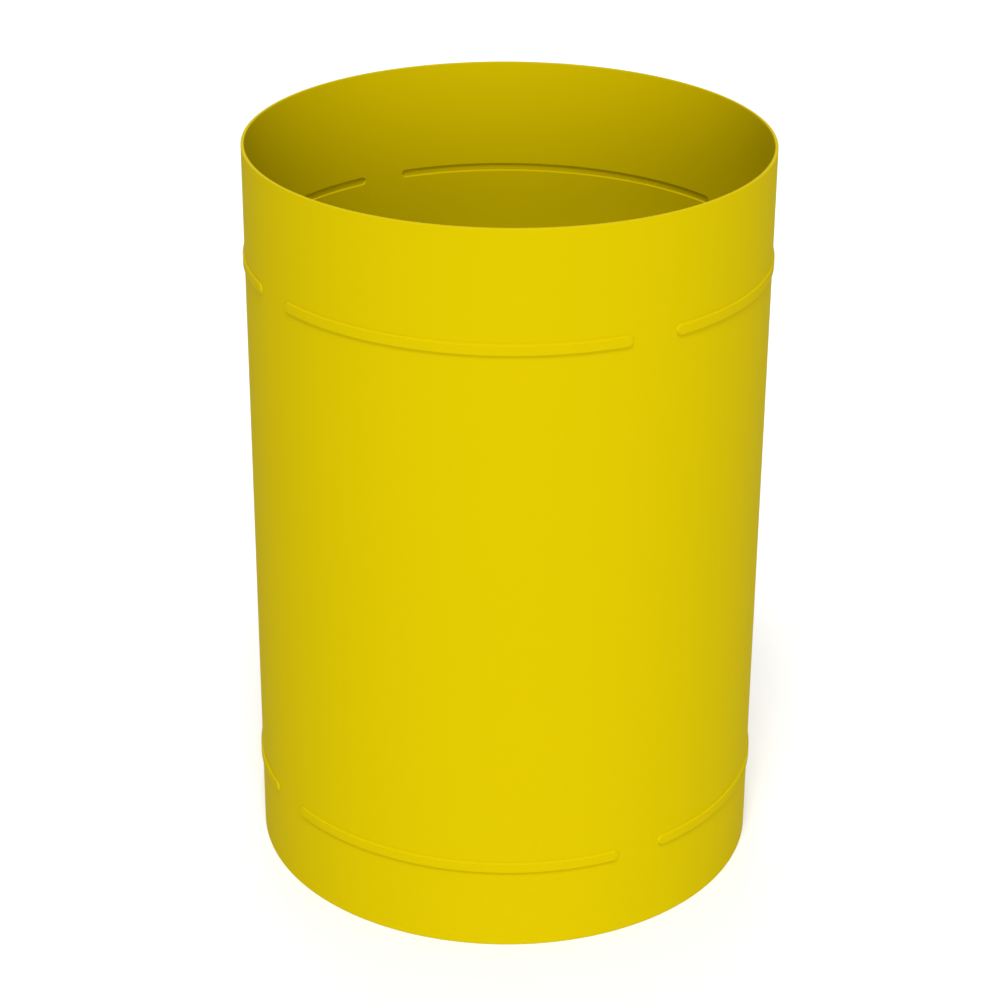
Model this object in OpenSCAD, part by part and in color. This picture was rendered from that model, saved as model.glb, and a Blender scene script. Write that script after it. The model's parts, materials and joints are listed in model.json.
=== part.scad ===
// Retractable bollard: a two-stage telescopic post on gas springs, standing in a beaded ground casing.
// Millimetres, +Z up, origin at the centre of the casing's bottom edge, with the post lowered.

/* [Casing] */
// Outside diameter of the casing
casing_d = 600; // [570:5:760]
// Height of the casing
casing_h = 878; // [730:1:1100]
// Sheet thickness of the casing
casing_wall = 4; // [3:0.5:6]

/* [Beads] */
// Width of a bead on the outside
bead_w = 12.8; // [8:0.1:18]
// Width of its groove on the inside
groove_w = 9.6; // [5:0.1:14]
// How far a bead stands out of the casing
bead_rise = 2; // [1:0.1:3]
// Length of one bead round the casing, in degrees
bead_arc = 79.6; // [40:0.1:84]
// Turn of the first bead's middle from +X, in degrees
bead_turn = 256.3; // [0:0.1:360]
// From the rim down to the middle of the upper beads
upper_bead_drop = 133.5; // [60:0.5:180]
// From the bottom edge up to the middle of the lower beads
lower_bead_height = 105.5; // [60:0.5:180]

/* [Base] */
// Thickness of the base plate
base_t = 12; // [8:1:20]
// Leg of the rolled angle that ties the casing to the base plate
angle_leg = 40; // [30:1:50]
// Thickness of the rolled angle
angle_t = 5; // [4:0.5:8]
// Radius of the circle that the anchor holes lie on
anchor_r = 225; // [215:1:235]
// Diameter of an anchor hole
anchor_hole_d = 18; // [14:1:24]
// Diameter of the drain hole
drain_d = 110; // [80:1:120]
// Distance of the drain hole from the axis
drain_offset = 180; // [170:1:185]

/* [Guide frame] */
// Drop from the rim to the top of the guide plate
guide_drop = 241; // [235:1:300]
// Thickness of the guide plate
guide_t = 12; // [8:1:16]
// Side of a square pillar tube
pillar_side = 40; // [30:1:50]
// Wall of a pillar tube
pillar_wall = 3; // [2:0.5:5]
// Length of the guide housing under the guide plate
housing_h = 75; // [60:1:100]
// Wall of the guide housing
housing_wall = 8; // [5:0.5:10]
// Wall of the guide bush
bush_wall = 12.7; // [8:0.1:16]

/* [Lower post] */
// Wall of the lower tube
lower_wall = 6.3; // [5:0.1:8]
// Gap between the base plate and the collar, filled by the buffers
lower_rest = 58; // [50:1:80]
// Thickness of the collar at the foot of the lower tube
collar_t = 12; // [10:1:16]
// How far the lowered lower tube stands above the guide plate
lower_proud = 23; // [20:1:40]

/* [Upper post] */
// Outside diameter of the upper tube
upper_d = 219.1; // [200:0.1:225]
// Wall of the upper tube
upper_wall = 8; // [5:0.5:10]
// How far the lowered upper tube stands above the lower tube
upper_proud = 30; // [26:1:40]
// Wall of the bush between the two tubes
stage_bush_wall = 19.85; // [18:0.05:22]
// Length of the bush between the two tubes
stage_bush_h = 75; // [60:1:100]
// Length of the wear ring at the foot of the upper tube
wear_ring_h = 40; // [30:1:60]
// Thickness of the head
head_h = 22; // [20:1:30]
// Width of the reflective band on each tube
band_h = 50; // [30:1:60]

/* [Gas springs] */
// Body diameter of the lower gas spring
lower_gas_d = 40; // [34:1:44]
// Rod diameter of the lower gas spring
lower_gas_rod_d = 20; // [14:1:22]
// Body diameter of an upper gas spring
upper_gas_d = 28; // [24:1:32]
// Rod diameter of an upper gas spring
upper_gas_rod_d = 14; // [10:1:16]
// Distance of an upper gas spring from the axis
upper_gas_offset = 62; // [60:1:66]

/* [Lock and latches] */
// Distance of the lock spindle from the axis
lock_offset = 62; // [58:1:66]
// Gear module of the lock pinion and rack
lock_module = 2; // [1.5:0.1:2.2]
// Teeth on the lock pinion
lock_teeth = 12; // [10:1:13]
// Swing of a latch between released and locked, in degrees
latch_swing = 15; // [10:1:18]

/* [Handle] */
// Diameter of the handle bar
handle_d = 10; // [8:1:12]
// Distance between the middles of the handle's legs
handle_w = 90; // [80:1:100]
// Reach of the handle from its pins
handle_reach = 50; // [40:1:55]

/* [Fits] */
// Radial clearance of a sliding tube in its bush
slide_gap = 0.5; // [0.3:0.1:1]
// Clearance between a piece and its curved seat
seat_gap = 0.3; // [0.2:0.05:0.5]
// Radial clearance of a pin or spindle in its hole
pin_gap = 0.05; // [0.03:0.01:0.1]

/* [Hidden] */
$fn = 96;
bolt_gap = 0.2;
bolt_short = 2;                 // a tapped bolt stops this far above the hole's end
bolt_past = 2;                  // a through bolt ends this far below its nut
bead_count = 4;
quarter = 90;

casing_r = casing_d / 2;
casing_ir = casing_r - casing_wall;
bead_pitch = 360 / bead_count;

guide_top = casing_h - guide_drop;
guide_bot = guide_top - guide_t;
guide_edge_gap = 4;
housing_bot = guide_bot - housing_h;

upper_r = upper_d / 2;
upper_ir = upper_r - upper_wall;
stage_bush_or = upper_r + slide_gap + stage_bush_wall;
lower_ir = stage_bush_or + seat_gap;
lower_r = lower_ir + lower_wall;

bush_ir = lower_r + slide_gap;
bush_or = bush_ir + bush_wall;
housing_ir = bush_or + seat_gap;
housing_or = housing_ir + housing_wall;
bush_flange_t = 6;
bush_flange_w = 18;
bush_flange_r = bush_or + bush_flange_w;
bush_top = guide_top + bush_flange_t;
clamp_t = 6;
seal_w = 15;
seal_h = 9;
clamp_screw_r = bush_flange_r - 6;
clamp_screw_d = 6;
clamp_screw_turn = 15;

shoe_running_gap = 0.5;
shoe_in = housing_or + 4;
shoe_back = 22.5;
pillar_in = shoe_in + shoe_back + shoe_running_gap;
pillar_r = pillar_in + pillar_side / 2;
pillar_turn = 45;
foot_t = 8;
foot_l = pillar_side + 20;
foot_w = pillar_side + 50;
foot_bolt_y = pillar_side / 2 + 12;
foot_bolt_d = 10;
shoe_bolt_d = 8;
shoe_bolt_bite = 28;
shoe_bolt_in = 9;               // from the shoe's inner face and from its sides
shoe_bolt_side = 10;
shoe_h = 50;
shoe_half_w = pillar_side / 2 + 12;
shoe_reach = 20;

collar_bot = base_t + lower_rest;
collar_top = collar_bot + collar_t;
lower_stop_gap = 24;
lower_stroke = housing_bot - collar_top - lower_stop_gap;
lower_top = guide_top + lower_proud;

stage_gap = 6;
foot_disc_bot = collar_top + stage_gap;
foot_disc_t = 12;
foot_disc_top = foot_disc_bot + foot_disc_t;
upper_stop_gap = 5;
stage_bush_bot = lower_top - stage_bush_h;
upper_stroke = stage_bush_bot - foot_disc_top - wear_ring_h - upper_stop_gap;
upper_top = lower_top + upper_proud;
stage_flange_t = 4;
stage_ring_t = 5;
stage_seal_w = 9;
stage_screw_r = (upper_r + lower_r) / 2 + 3;
stage_screw_d = 5;
stage_screw_turn = 30;
stage_screw_bite = 14;
spigot_h = 6;
crown_t = 12;
crown_top = upper_top - spigot_h;
crown_bot = crown_top - crown_t;
head_top = upper_top + head_h;
head_screw_r = upper_ir - 9;
head_screw_d = 8;
head_screw_turn = 45;
head_cone_h = 4.2;
head_cone_d = 17;
band_depth = 0.8;

lift_ir = lower_gas_d / 2 + 4;
lift_or = lift_ir + 4;
lift_cap_t = 8;
lift_top = crown_bot - 32;
clevis_pin_z = base_t + 24;
clevis_pin_d = 12;
gas_foot = base_t + 38;
lower_gas_top = lift_top - 65;
upper_gas_top = lower_top - 70;
gas_wall = 4;
gland_h = 14;
stud_d = 12;
upper_stud_d = 10;

latch_r = housing_or + 22;
latch_z = collar_top - collar_t / 2;
latch_t = 16;
latch_pin_d = 6;
latch_hub_r = 9;
latch_slot_h = 24;
latch_tail_tip = stage_bush_or - 8;
latch_nose_reach = 24;
latch_nose_h = 39;
ledge_in = latch_r + 15;
ledge_top = latch_z + lower_stroke + latch_nose_h - 1;
ledge_t = 8;
arm_half_w = 25;
arm_past = 10;
collar_edge = 12;
collar_pillar_gap = 4;

rod_d = 12;
pinion_pitch_r = lock_module * lock_teeth / 2;
pinion_t = 11.4;
bolt_t = 12;
bolt_in_x = pinion_pitch_r + 2.5;
bolt_w = 17.5;
bolt_end_y = upper_r + 5.5;
bolt_tail_y = lock_offset - 30;
window_gap = 1;

// ---------- helpers ----------

// Puts the children at a distance from the axis, facing outwards along their own +X
module around(angle, radius = 0) {
    rotate([0, 0, angle]) translate([radius, 0, 0]) children();
}

// A straight ring standing on z = 0
module ring(outer, inner, h) {
    difference() {
        cylinder(r = outer, h = h);
        translate([0, 0, -1]) cylinder(r = inner, h = h + 2);
    }
}

// A hex bolt with a washer: its seat is at z = 0 and its shank runs down
module hex_bolt(d, length) {
    washer_t = d * 0.2;
    head_t = d * 0.65;
    cylinder(r = d, h = washer_t);
    translate([0, 0, washer_t]) cylinder(r = d * 0.95, h = head_t, $fn = 6);
    translate([0, 0, -length]) cylinder(d = d, h = length + 1);
}

// A cap screw: its seat is at z = 0 and its shank runs down
module cap_screw(d, length) {
    difference() {
        cylinder(d = d * 1.6, h = d * 0.8);
        translate([0, 0, d * 0.3]) cylinder(r = d * 0.42, h = d, $fn = 6);
    }
    translate([0, 0, -length]) cylinder(d = d, h = length + 1);
}

// A hex nut standing on z = 0, over a stud of diameter d
module hex_nut(d) {
    difference() {
        cylinder(r = d, h = d * 0.8, $fn = 6);
        translate([0, 0, -1]) cylinder(d = d + 2 * pin_gap, h = d + 2);
    }
}

// The nut under a joint that is grip deep, on a bolt whose seat is at z = 0
module nut_below(d, grip) {
    translate([0, 0, -grip - d * 0.8]) cylinder(r = d * 0.95, h = d * 0.8, $fn = 6);
}

// A hole for a bolt, through a plate whose top is at z = 0
module bolt_hole(d, depth) {
    translate([0, 0, -depth - 1]) cylinder(d = d + 2 * bolt_gap, h = depth + 2);
}

// ---------- casing ----------

// One bead between two radii
module bead(width, inner, outer) {
    rotate([0, 0, -bead_arc / 2]) rotate_extrude(angle = bead_arc)
        translate([inner, -width / 2]) square([outer - inner, width]);
}

module bead_ring(z, width, inner, outer) {
    for (k = [0 : bead_count - 1]) translate([0, 0, z]) rotate([0, 0, bead_turn + k * bead_pitch])
        bead(width, inner, outer);
}

module casing_shell() {
    sink = 1;                   // depth that a bead or groove reaches into the sheet
    color("gold") difference() {
        union() {
            cylinder(r = casing_r, h = casing_h);
            for (z = [lower_bead_height, casing_h - upper_bead_drop])
                bead_ring(z, bead_w, casing_r - sink, casing_r + bead_rise);
        }
        translate([0, 0, -1]) cylinder(r = casing_ir, h = casing_h + 2);
        for (z = [lower_bead_height, casing_h - upper_bead_drop])
            bead_ring(z, groove_w, casing_ir - sink, casing_ir + bead_rise);
    }
}

// ---------- base ----------

base_bolt_r = casing_ir - seat_gap - angle_leg + 14;
base_bolt_d = 12;
base_bolt_turn = 22.5;
anchor_turn = 20;
grate_r = drain_d / 2 + 13;
grate_t = 4;
grate_slot_w = 8;
grate_slot_pitch = 16;
grate_edge = 6;
buffer_r = 110;
buffer_d = 36;
buffer_taper = 6;
buffer_foot_w = 6;
buffer_foot_t = 4;
base_bolts = 8;

module base_bolt_places(z) {
    for (k = [0 : base_bolts - 1]) around(base_bolt_turn + 360 / base_bolts * k, base_bolt_r)
        translate([0, 0, z]) children();
}

module foot_bolt_places(z) {
    for (k = [0 : 3]) around(pillar_turn + quarter * k, pillar_r)
        for (side = [-1, 1]) translate([0, side * foot_bolt_y, z]) children();
}

module base_plate() {
    color("silver") difference() {
        cylinder(r = casing_ir - seat_gap, h = base_t);
        base_bolt_places(base_t) bolt_hole(base_bolt_d, base_t);
        foot_bolt_places(base_t) bolt_hole(foot_bolt_d, base_t);
        for (k = [0 : 3]) around(anchor_turn + quarter * k, anchor_r) translate([0, 0, -1])
            cylinder(d = anchor_hole_d, h = base_t + 2);
        translate([0, drain_offset, -1]) cylinder(d = drain_d, h = base_t + 2);
    }
}

module base_angle_ring() {
    outer = casing_ir - seat_gap;
    color("silver") translate([0, 0, base_t]) difference() {
        union() {
            ring(outer, outer - angle_leg, angle_t);
            ring(outer, outer - angle_t, angle_leg);
        }
        base_bolt_places(angle_t) bolt_hole(base_bolt_d, angle_t);
    }
}

module base_ring_bolts() {
    color("gainsboro") base_bolt_places(base_t + angle_t)
        hex_bolt(base_bolt_d, angle_t + base_t - bolt_short);
}

module drain_grate() {
    color("dimgray") translate([0, drain_offset, base_t]) difference() {
        cylinder(r = grate_r, h = grate_t);
        for (k = [-2 : 2]) {
            x = k * grate_slot_pitch;
            half = sqrt(pow(drain_d / 2 - grate_edge, 2) - pow(x, 2));
            translate([x - grate_slot_w / 2, -half, -1]) cube([grate_slot_w, 2 * half, grate_t + 2]);
        }
    }
}

module post_buffers() {
    color("black") for (k = [0 : 3]) around(pillar_turn + quarter * k, buffer_r)
        translate([0, 0, base_t]) {
            cylinder(d = buffer_d + 2 * buffer_foot_w, h = buffer_foot_t);
            cylinder(d1 = buffer_d, d2 = buffer_d - buffer_taper, h = lower_rest - seat_gap);
        }
}

// ---------- guide frame ----------

module pillar(k) {
    h = guide_bot - base_t;
    color("silver") around(pillar_turn + quarter * k, pillar_r) translate([0, 0, base_t]) difference() {
        union() {
            translate([-pillar_side / 2, -pillar_side / 2, 0]) cube([pillar_side, pillar_side, h]);
            for (z = [0, h - foot_t]) translate([-foot_l / 2, -foot_w / 2, z])
                cube([foot_l, foot_w, foot_t]);
        }
        bore = pillar_side - 2 * pillar_wall;
        translate([-bore / 2, -bore / 2, -1]) cube([bore, bore, h + 2]);
        for (z = [foot_t, h]) for (side = [-1, 1]) translate([0, side * foot_bolt_y, z])
            bolt_hole(foot_bolt_d, foot_t);
    }
}

module pillar_foot_bolts() {
    color("gainsboro") foot_bolt_places(base_t + foot_t) hex_bolt(foot_bolt_d, foot_t + base_t - bolt_short);
}

module pillar_head_bolts() {
    grip = guide_t + foot_t;
    color("gainsboro") foot_bolt_places(guide_top) {
        hex_bolt(foot_bolt_d, grip + foot_bolt_d + bolt_past);
        nut_below(foot_bolt_d, grip);
    }
}

lug_w = 60;
lug_t = 6;
lug_l = 45;
lug_leg = 50;
lug_bolt_r = casing_ir - 26;
lug_bolt_d = 12;
hand_hole_r = pillar_r + 27;
hand_hole_d = 50;
catch_plate_x = ledge_in + 15;
catch_flange = 30;
catch_bolt_r = catch_plate_x + 18;
catch_half_w = 18;
catch_bolt_d = 8;

module lug_bolt_places(z) {
    for (k = [0 : 3]) around(quarter * k, lug_bolt_r) translate([0, 0, z]) children();
}

module catch_bolt_places(z) {
    for (turn = [0, 180]) around(turn, catch_bolt_r) translate([0, 0, z]) children();
}

module clamp_screw_places(z) {
    for (k = [0 : 5]) around(clamp_screw_turn + 60 * k, clamp_screw_r) translate([0, 0, z]) children();
}

module guide_plate() {
    color("silver") difference() {
        union() {
            translate([0, 0, guide_bot]) cylinder(r = casing_ir - guide_edge_gap, h = guide_t);
            translate([0, 0, housing_bot]) cylinder(r = housing_or, h = housing_h + 1);
        }
        translate([0, 0, housing_bot - 1]) cylinder(r = housing_ir, h = housing_h + guide_t + 2);
        for (k = [0 : 3]) around(pillar_turn / 2 + quarter * k, hand_hole_r)
            translate([0, 0, guide_bot - 1]) cylinder(d = hand_hole_d, h = guide_t + 2);
        foot_bolt_places(guide_top) bolt_hole(foot_bolt_d, guide_t);
        lug_bolt_places(guide_top) bolt_hole(lug_bolt_d, guide_t);
        catch_bolt_places(guide_top) bolt_hole(catch_bolt_d, guide_t);
        clamp_screw_places(guide_top) bolt_hole(clamp_screw_d, guide_t);
    }
}

module guide_bush() {
    color("dimgray") difference() {
        union() {
            translate([0, 0, housing_bot]) cylinder(r = bush_or, h = bush_top - housing_bot);
            translate([0, 0, guide_top]) cylinder(r = bush_flange_r, h = bush_flange_t);
        }
        translate([0, 0, housing_bot - 1]) cylinder(r = bush_ir, h = bush_top - housing_bot + 2);
        clamp_screw_places(bush_top) bolt_hole(clamp_screw_d, bush_flange_t);
    }
}

module guide_clamp_ring() {
    color("silver") translate([0, 0, bush_top]) difference() {
        ring(bush_flange_r, bush_ir + seal_w + seat_gap, clamp_t);
        clamp_screw_places(clamp_t) bolt_hole(clamp_screw_d, clamp_t);
    }
}

// A wiper seal: a flat foot and a lip that leans on the tube
module wiper(inner, width, h) {
    rotate_extrude() polygon([
        [inner + 2, 0], [inner + width, 0], [inner + width, h * 0.55],
        [inner + width * 0.55, h * 0.6], [inner + 2, h], [inner, h], [inner, h * 0.8]
    ]);
}

module guide_wiper_seal() {
    color("black") translate([0, 0, bush_top]) wiper(bush_ir - slide_gap + 0.2, seal_w, seal_h);
}

module clamp_screws() {
    color("gainsboro") clamp_screw_places(bush_top + clamp_t)
        cap_screw(clamp_screw_d, clamp_t + bush_flange_t + guide_t - bolt_short);
}

module casing_lugs() {
    color("gold") for (k = [0 : 3]) rotate([0, 0, quarter * k]) difference() {
        intersection() {
            union() {
                translate([casing_ir - lug_l, -lug_w / 2, guide_bot - lug_t]) cube([lug_l, lug_w, lug_t]);
                translate([casing_ir - lug_t - 2, -lug_w / 2, guide_bot - lug_leg])
                    cube([lug_t + 2, lug_w, lug_leg - 1]);
            }
            translate([0, 0, guide_bot - lug_leg - 1]) cylinder(r = casing_ir - 0.05, h = lug_leg + 2);
        }
        translate([lug_bolt_r, 0, guide_bot]) bolt_hole(lug_bolt_d, lug_t);
    }
}

module lug_bolts() {
    grip = guide_t + lug_t;
    color("gainsboro") lug_bolt_places(guide_top) {
        hex_bolt(lug_bolt_d, grip + lug_bolt_d + bolt_past);
        nut_below(lug_bolt_d, grip);
    }
}

// Brackets under the guide plate, with the ledge that holds a latch up
module latch_catches() {
    color("silver") for (turn = [0, 180]) rotate([0, 0, turn]) difference() {
        union() {
            translate([ledge_in, -catch_half_w, ledge_top - ledge_t])
                cube([catch_plate_x + ledge_t - ledge_in, 2 * catch_half_w, ledge_t]);
            translate([catch_plate_x, -catch_half_w, ledge_top - ledge_t])
                cube([ledge_t, 2 * catch_half_w, guide_bot - ledge_top + ledge_t]);
            translate([catch_plate_x, -catch_half_w, guide_bot - lug_t])
                cube([catch_flange, 2 * catch_half_w, lug_t]);
        }
        translate([catch_bolt_r, 0, guide_bot]) bolt_hole(catch_bolt_d, lug_t);
    }
}

module catch_bolts() {
    grip = guide_t + lug_t;
    color("gainsboro") catch_bolt_places(guide_top) {
        hex_bolt(catch_bolt_d, grip + catch_bolt_d + bolt_past);
        nut_below(catch_bolt_d, grip);
    }
}

// ---------- lower gas spring ----------

module lower_gas_bracket() {
    ear_t = 8;
    ear_gap = 21;
    ear_w = 28;
    ear_past = 12;
    plate = 60;
    plate_t = 6;
    color("silver") difference() {
        translate([0, 0, base_t]) {
            translate([-plate / 2, -plate / 2, 0]) cube([plate, plate, plate_t]);
            for (side = [-1, 1]) translate([side * (ear_gap + ear_t) / 2 - ear_t / 2, -ear_w / 2, 0])
                cube([ear_t, ear_w, clevis_pin_z - base_t + ear_past]);
        }
        translate([-plate, 0, clevis_pin_z]) rotate([0, quarter, 0])
            cylinder(d = clevis_pin_d + 2 * pin_gap, h = 2 * plate);
    }
}

module lower_gas_pin() {
    pin_l = 44;
    color("gainsboro") translate([-pin_l / 2, 0, clevis_pin_z]) rotate([0, quarter, 0]) {
        cylinder(d = clevis_pin_d, h = pin_l);
        cylinder(d = clevis_pin_d + 5, h = 3);
    }
}

// A gas spring's body: a closed bottom, a bored tube and a gland round the rod
module gas_body(d, rod_d, bottom, top) {
    difference() {
        translate([0, 0, bottom]) cylinder(d = d, h = top - bottom);
        translate([0, 0, bottom + gas_wall])
            cylinder(d = d - 2 * gas_wall, h = top - bottom - gas_wall - gland_h);
        translate([0, 0, top - gland_h - 1]) cylinder(d = rod_d + 2 * pin_gap, h = gland_h + 2);
    }
}

module lower_gas_cylinder() {
    eye_r = 11;
    eye_w = 20;
    color("black") {
        gas_body(lower_gas_d, lower_gas_rod_d, gas_foot, lower_gas_top);
        difference() {
            translate([0, 0, clevis_pin_z]) {
                rotate([0, quarter, 0]) translate([0, 0, -eye_w / 2]) cylinder(r = eye_r, h = eye_w);
                translate([-eye_w / 2, -eye_r, 0]) cube([eye_w, 2 * eye_r, gas_foot - clevis_pin_z + 1]);
            }
            translate([-eye_w, 0, clevis_pin_z]) rotate([0, quarter, 0])
                cylinder(d = clevis_pin_d + 2 * pin_gap, h = 2 * eye_w);
        }
    }
}

module lower_gas_rod() {
    piston = gas_foot + gas_wall + 4;
    color("lightgray") {
        translate([0, 0, piston]) cylinder(d = lower_gas_d - 2 * gas_wall - 0.6, h = 12);
        translate([0, 0, piston]) cylinder(d = lower_gas_rod_d, h = lift_top - lift_cap_t - piston);
        translate([0, 0, lift_top - lift_cap_t - 1]) cylinder(d = stud_d, h = lift_cap_t + 16);
    }
}

// ---------- lower post ----------

// Slot in the collar and in the tube's foot for the tail of a latch
module latch_slot(h) {
    half = latch_t / 2 + 0.5;
    translate([latch_tail_tip - 4, -half, 0]) cube([latch_r - latch_tail_tip + 20, 2 * half, h]);
}

// The windows that the lock bolt enters with the upper post lowered and raised
module bolt_windows() {
    for (rise = [0, upper_stroke])
        translate([bolt_in_x - window_gap, -lower_r - 2, foot_disc_top + rise - window_gap])
            cube([bolt_w + 2 * window_gap, lower_wall + 14, bolt_t + 2 * window_gap]);
}

module band_groove(radius, top) {
    translate([0, 0, top - band_h]) ring(radius + 1, radius - band_depth, band_h);
}

lower_band_top = lower_top - 14;
upper_band_top = upper_top - 10;

module stage_screw_places(z) {
    for (k = [0 : 5]) around(stage_screw_turn + 60 * k, stage_screw_r) translate([0, 0, z]) children();
}

module shoe_bolt_places(z) {
    for (k = [0 : 3]) rotate([0, 0, pillar_turn + quarter * k]) for (side = [-1, 1])
        translate([shoe_in + shoe_bolt_in, side * (shoe_half_w - shoe_bolt_side), z]) children();
}

module lower_tube() {
    color("gold") difference() {
        translate([0, 0, collar_top]) ring(lower_r, lower_ir, lower_top - collar_top);
        for (turn = [0, 180]) rotate([0, 0, turn]) translate([0, 0, collar_top - 1]) latch_slot(latch_slot_h);
        bolt_windows();
        band_groove(lower_r, lower_band_top);
        stage_screw_places(lower_top) bolt_hole(stage_screw_d, stage_screw_bite);
    }
}

module lower_collar() {
    color("silver") difference() {
        translate([0, 0, collar_bot]) union() {
            cylinder(r = lower_r + collar_edge, h = collar_t);
            for (turn = [0, 180]) rotate([0, 0, turn]) translate([0, -arm_half_w, 0])
                cube([latch_r + arm_past, 2 * arm_half_w, collar_t]);
            for (k = [0 : 3]) rotate([0, 0, pillar_turn + quarter * k]) translate([0, -shoe_half_w, 0])
                cube([pillar_in - collar_pillar_gap, 2 * shoe_half_w, collar_t]);
        }
        translate([0, 0, collar_bot - 1]) cylinder(r = lift_ir, h = collar_t + 2);
        for (turn = [0, 180]) rotate([0, 0, turn]) {
            translate([0, 0, collar_bot - 1]) latch_slot(collar_t + 2);
            translate([latch_r, arm_half_w + 1, latch_z]) rotate([quarter, 0, 0])
                cylinder(d = latch_pin_d + 2 * pin_gap, h = 2 * arm_half_w + 2);
            translate([upper_gas_offset, 0, collar_top]) bolt_hole(upper_stud_d, collar_t);
        }
        shoe_bolt_places(collar_top) bolt_hole(shoe_bolt_d, collar_t);
    }
}

module lift_tube() {
    color("silver") difference() {
        translate([0, 0, collar_top]) cylinder(r = lift_or, h = lift_top - collar_top);
        translate([0, 0, collar_top - 1]) cylinder(r = lift_ir, h = lift_top - lift_cap_t - collar_top + 1);
        translate([0, 0, lift_top]) bolt_hole(stud_d, lift_cap_t + 1);
    }
}

module lift_nut() {
    color("gainsboro") translate([0, 0, lift_top]) hex_nut(stud_d);
}

// Polymer shoes on the collar's arms: each one straddles a pillar
module slide_shoes() {
    slot_half = pillar_side / 2 + shoe_running_gap;
    color("dimgray") for (k = [0 : 3]) rotate([0, 0, pillar_turn + quarter * k])
        translate([0, 0, collar_top]) difference() {
            translate([shoe_in, -shoe_half_w, 0]) cube([shoe_back + shoe_reach, 2 * shoe_half_w, shoe_h]);
            translate([shoe_in + shoe_back, -slot_half, -1])
                cube([shoe_reach + 1, 2 * slot_half, shoe_h + 2]);
            for (side = [-1, 1])
                translate([shoe_in + shoe_bolt_in, side * (shoe_half_w - shoe_bolt_side), -1])
                    cylinder(d = shoe_bolt_d + 2 * bolt_gap, h = shoe_bolt_bite + bolt_short + 1);
        }
}

module shoe_bolts() {
    color("gainsboro") shoe_bolt_places(collar_bot) mirror([0, 0, 1])
        hex_bolt(shoe_bolt_d, collar_t + shoe_bolt_bite);
}

module stage_buffer() {
    outer = latch_tail_tip - 5;
    width = 12;
    color("black") translate([0, 0, collar_top]) ring(outer, outer - width, stage_gap - seat_gap);
}

module stage_bush() {
    inner = upper_r + slide_gap;
    color("dimgray") difference() {
        union() {
            translate([0, 0, stage_bush_bot]) cylinder(r = stage_bush_or, h = stage_bush_h);
            translate([0, 0, lower_top]) cylinder(r = lower_r, h = stage_flange_t);
        }
        translate([0, 0, stage_bush_bot - 1]) cylinder(r = inner, h = stage_bush_h + stage_flange_t + 2);
        stage_screw_places(lower_top + stage_flange_t)
            bolt_hole(stage_screw_d, stage_flange_t + stage_screw_bite + 1);
    }
}

module stage_top_ring() {
    color("gold") translate([0, 0, lower_top + stage_flange_t]) difference() {
        ring(lower_r, upper_r + slide_gap + stage_seal_w + seat_gap, stage_ring_t);
        stage_screw_places(stage_ring_t) bolt_hole(stage_screw_d, stage_ring_t);
    }
}

module stage_wiper_seal() {
    color("black") translate([0, 0, lower_top + stage_flange_t]) wiper(upper_r + 0.2, stage_seal_w, 8);
}

module stage_ring_screws() {
    color("gainsboro") stage_screw_places(lower_top + stage_flange_t + stage_ring_t)
        cap_screw(stage_screw_d, stage_ring_t + stage_flange_t + stage_screw_bite - bolt_short);
}

module reflective_band(radius, top) {
    color("white") translate([0, 0, top - band_h + 0.1])
        ring(radius - 0.1, radius - band_depth + 0.05, band_h - 0.2);
}

module upper_gas_cylinders() {
    color("black") for (side = [-1, 1]) translate([side * upper_gas_offset, 0, 0]) {
        gas_body(upper_gas_d, upper_gas_rod_d, collar_top, upper_gas_top);
        translate([0, 0, collar_bot - upper_stud_d - bolt_past])
            cylinder(d = upper_stud_d, h = collar_t + upper_stud_d + bolt_past + 1);
        translate([0, 0, collar_bot]) nut_below(upper_stud_d, 0);
    }
}

module upper_gas_rods() {
    piston = collar_top + gas_wall + 4;
    color("lightgray") for (side = [-1, 1]) translate([side * upper_gas_offset, 0, 0]) {
        translate([0, 0, piston]) cylinder(d = upper_gas_d - 2 * gas_wall - 0.6, h = 10);
        translate([0, 0, piston]) cylinder(d = upper_gas_rod_d, h = crown_bot - piston);
        translate([0, 0, crown_bot - 1]) cylinder(d = upper_stud_d, h = crown_t + upper_stud_d + 1);
        translate([0, 0, crown_top + upper_stud_d * 0.8]) nut_below(upper_stud_d, 0);
    }
}

// ---------- latches ----------

// A point of the hook, leaning inwards by the latch's swing
function lean(p) = [
    p[0] * cos(latch_swing) - p[1] * sin(latch_swing),
    p[0] * sin(latch_swing) + p[1] * cos(latch_swing)
];

// The latch's plate with the pin at the origin: a hook on one side, a tail on the other
module latch_outline() {
    tail = latch_r - latch_tail_tip;
    tail_top = foot_disc_bot - latch_z - seat_gap;
    shank = [-4, 8];
    nose_t = 9;
    hook_t = 16;
    hook = [
        [shank[1], 0], [shank[1], latch_nose_h], [latch_nose_reach, latch_nose_h],
        [latch_nose_reach, latch_nose_h + nose_t], [latch_nose_reach - nose_t, latch_nose_h + hook_t],
        [0, latch_nose_h + hook_t], [shank[0], latch_nose_h + hook_t - 5], [shank[0], shank[1]]
    ];
    polygon(concat(
        [[0, -5.5]], [for (p = hook) lean(p)],
        [[shank[1] - tail, tail_top], [-tail, tail_top], [-tail, 2]]
    ));
}

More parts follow.
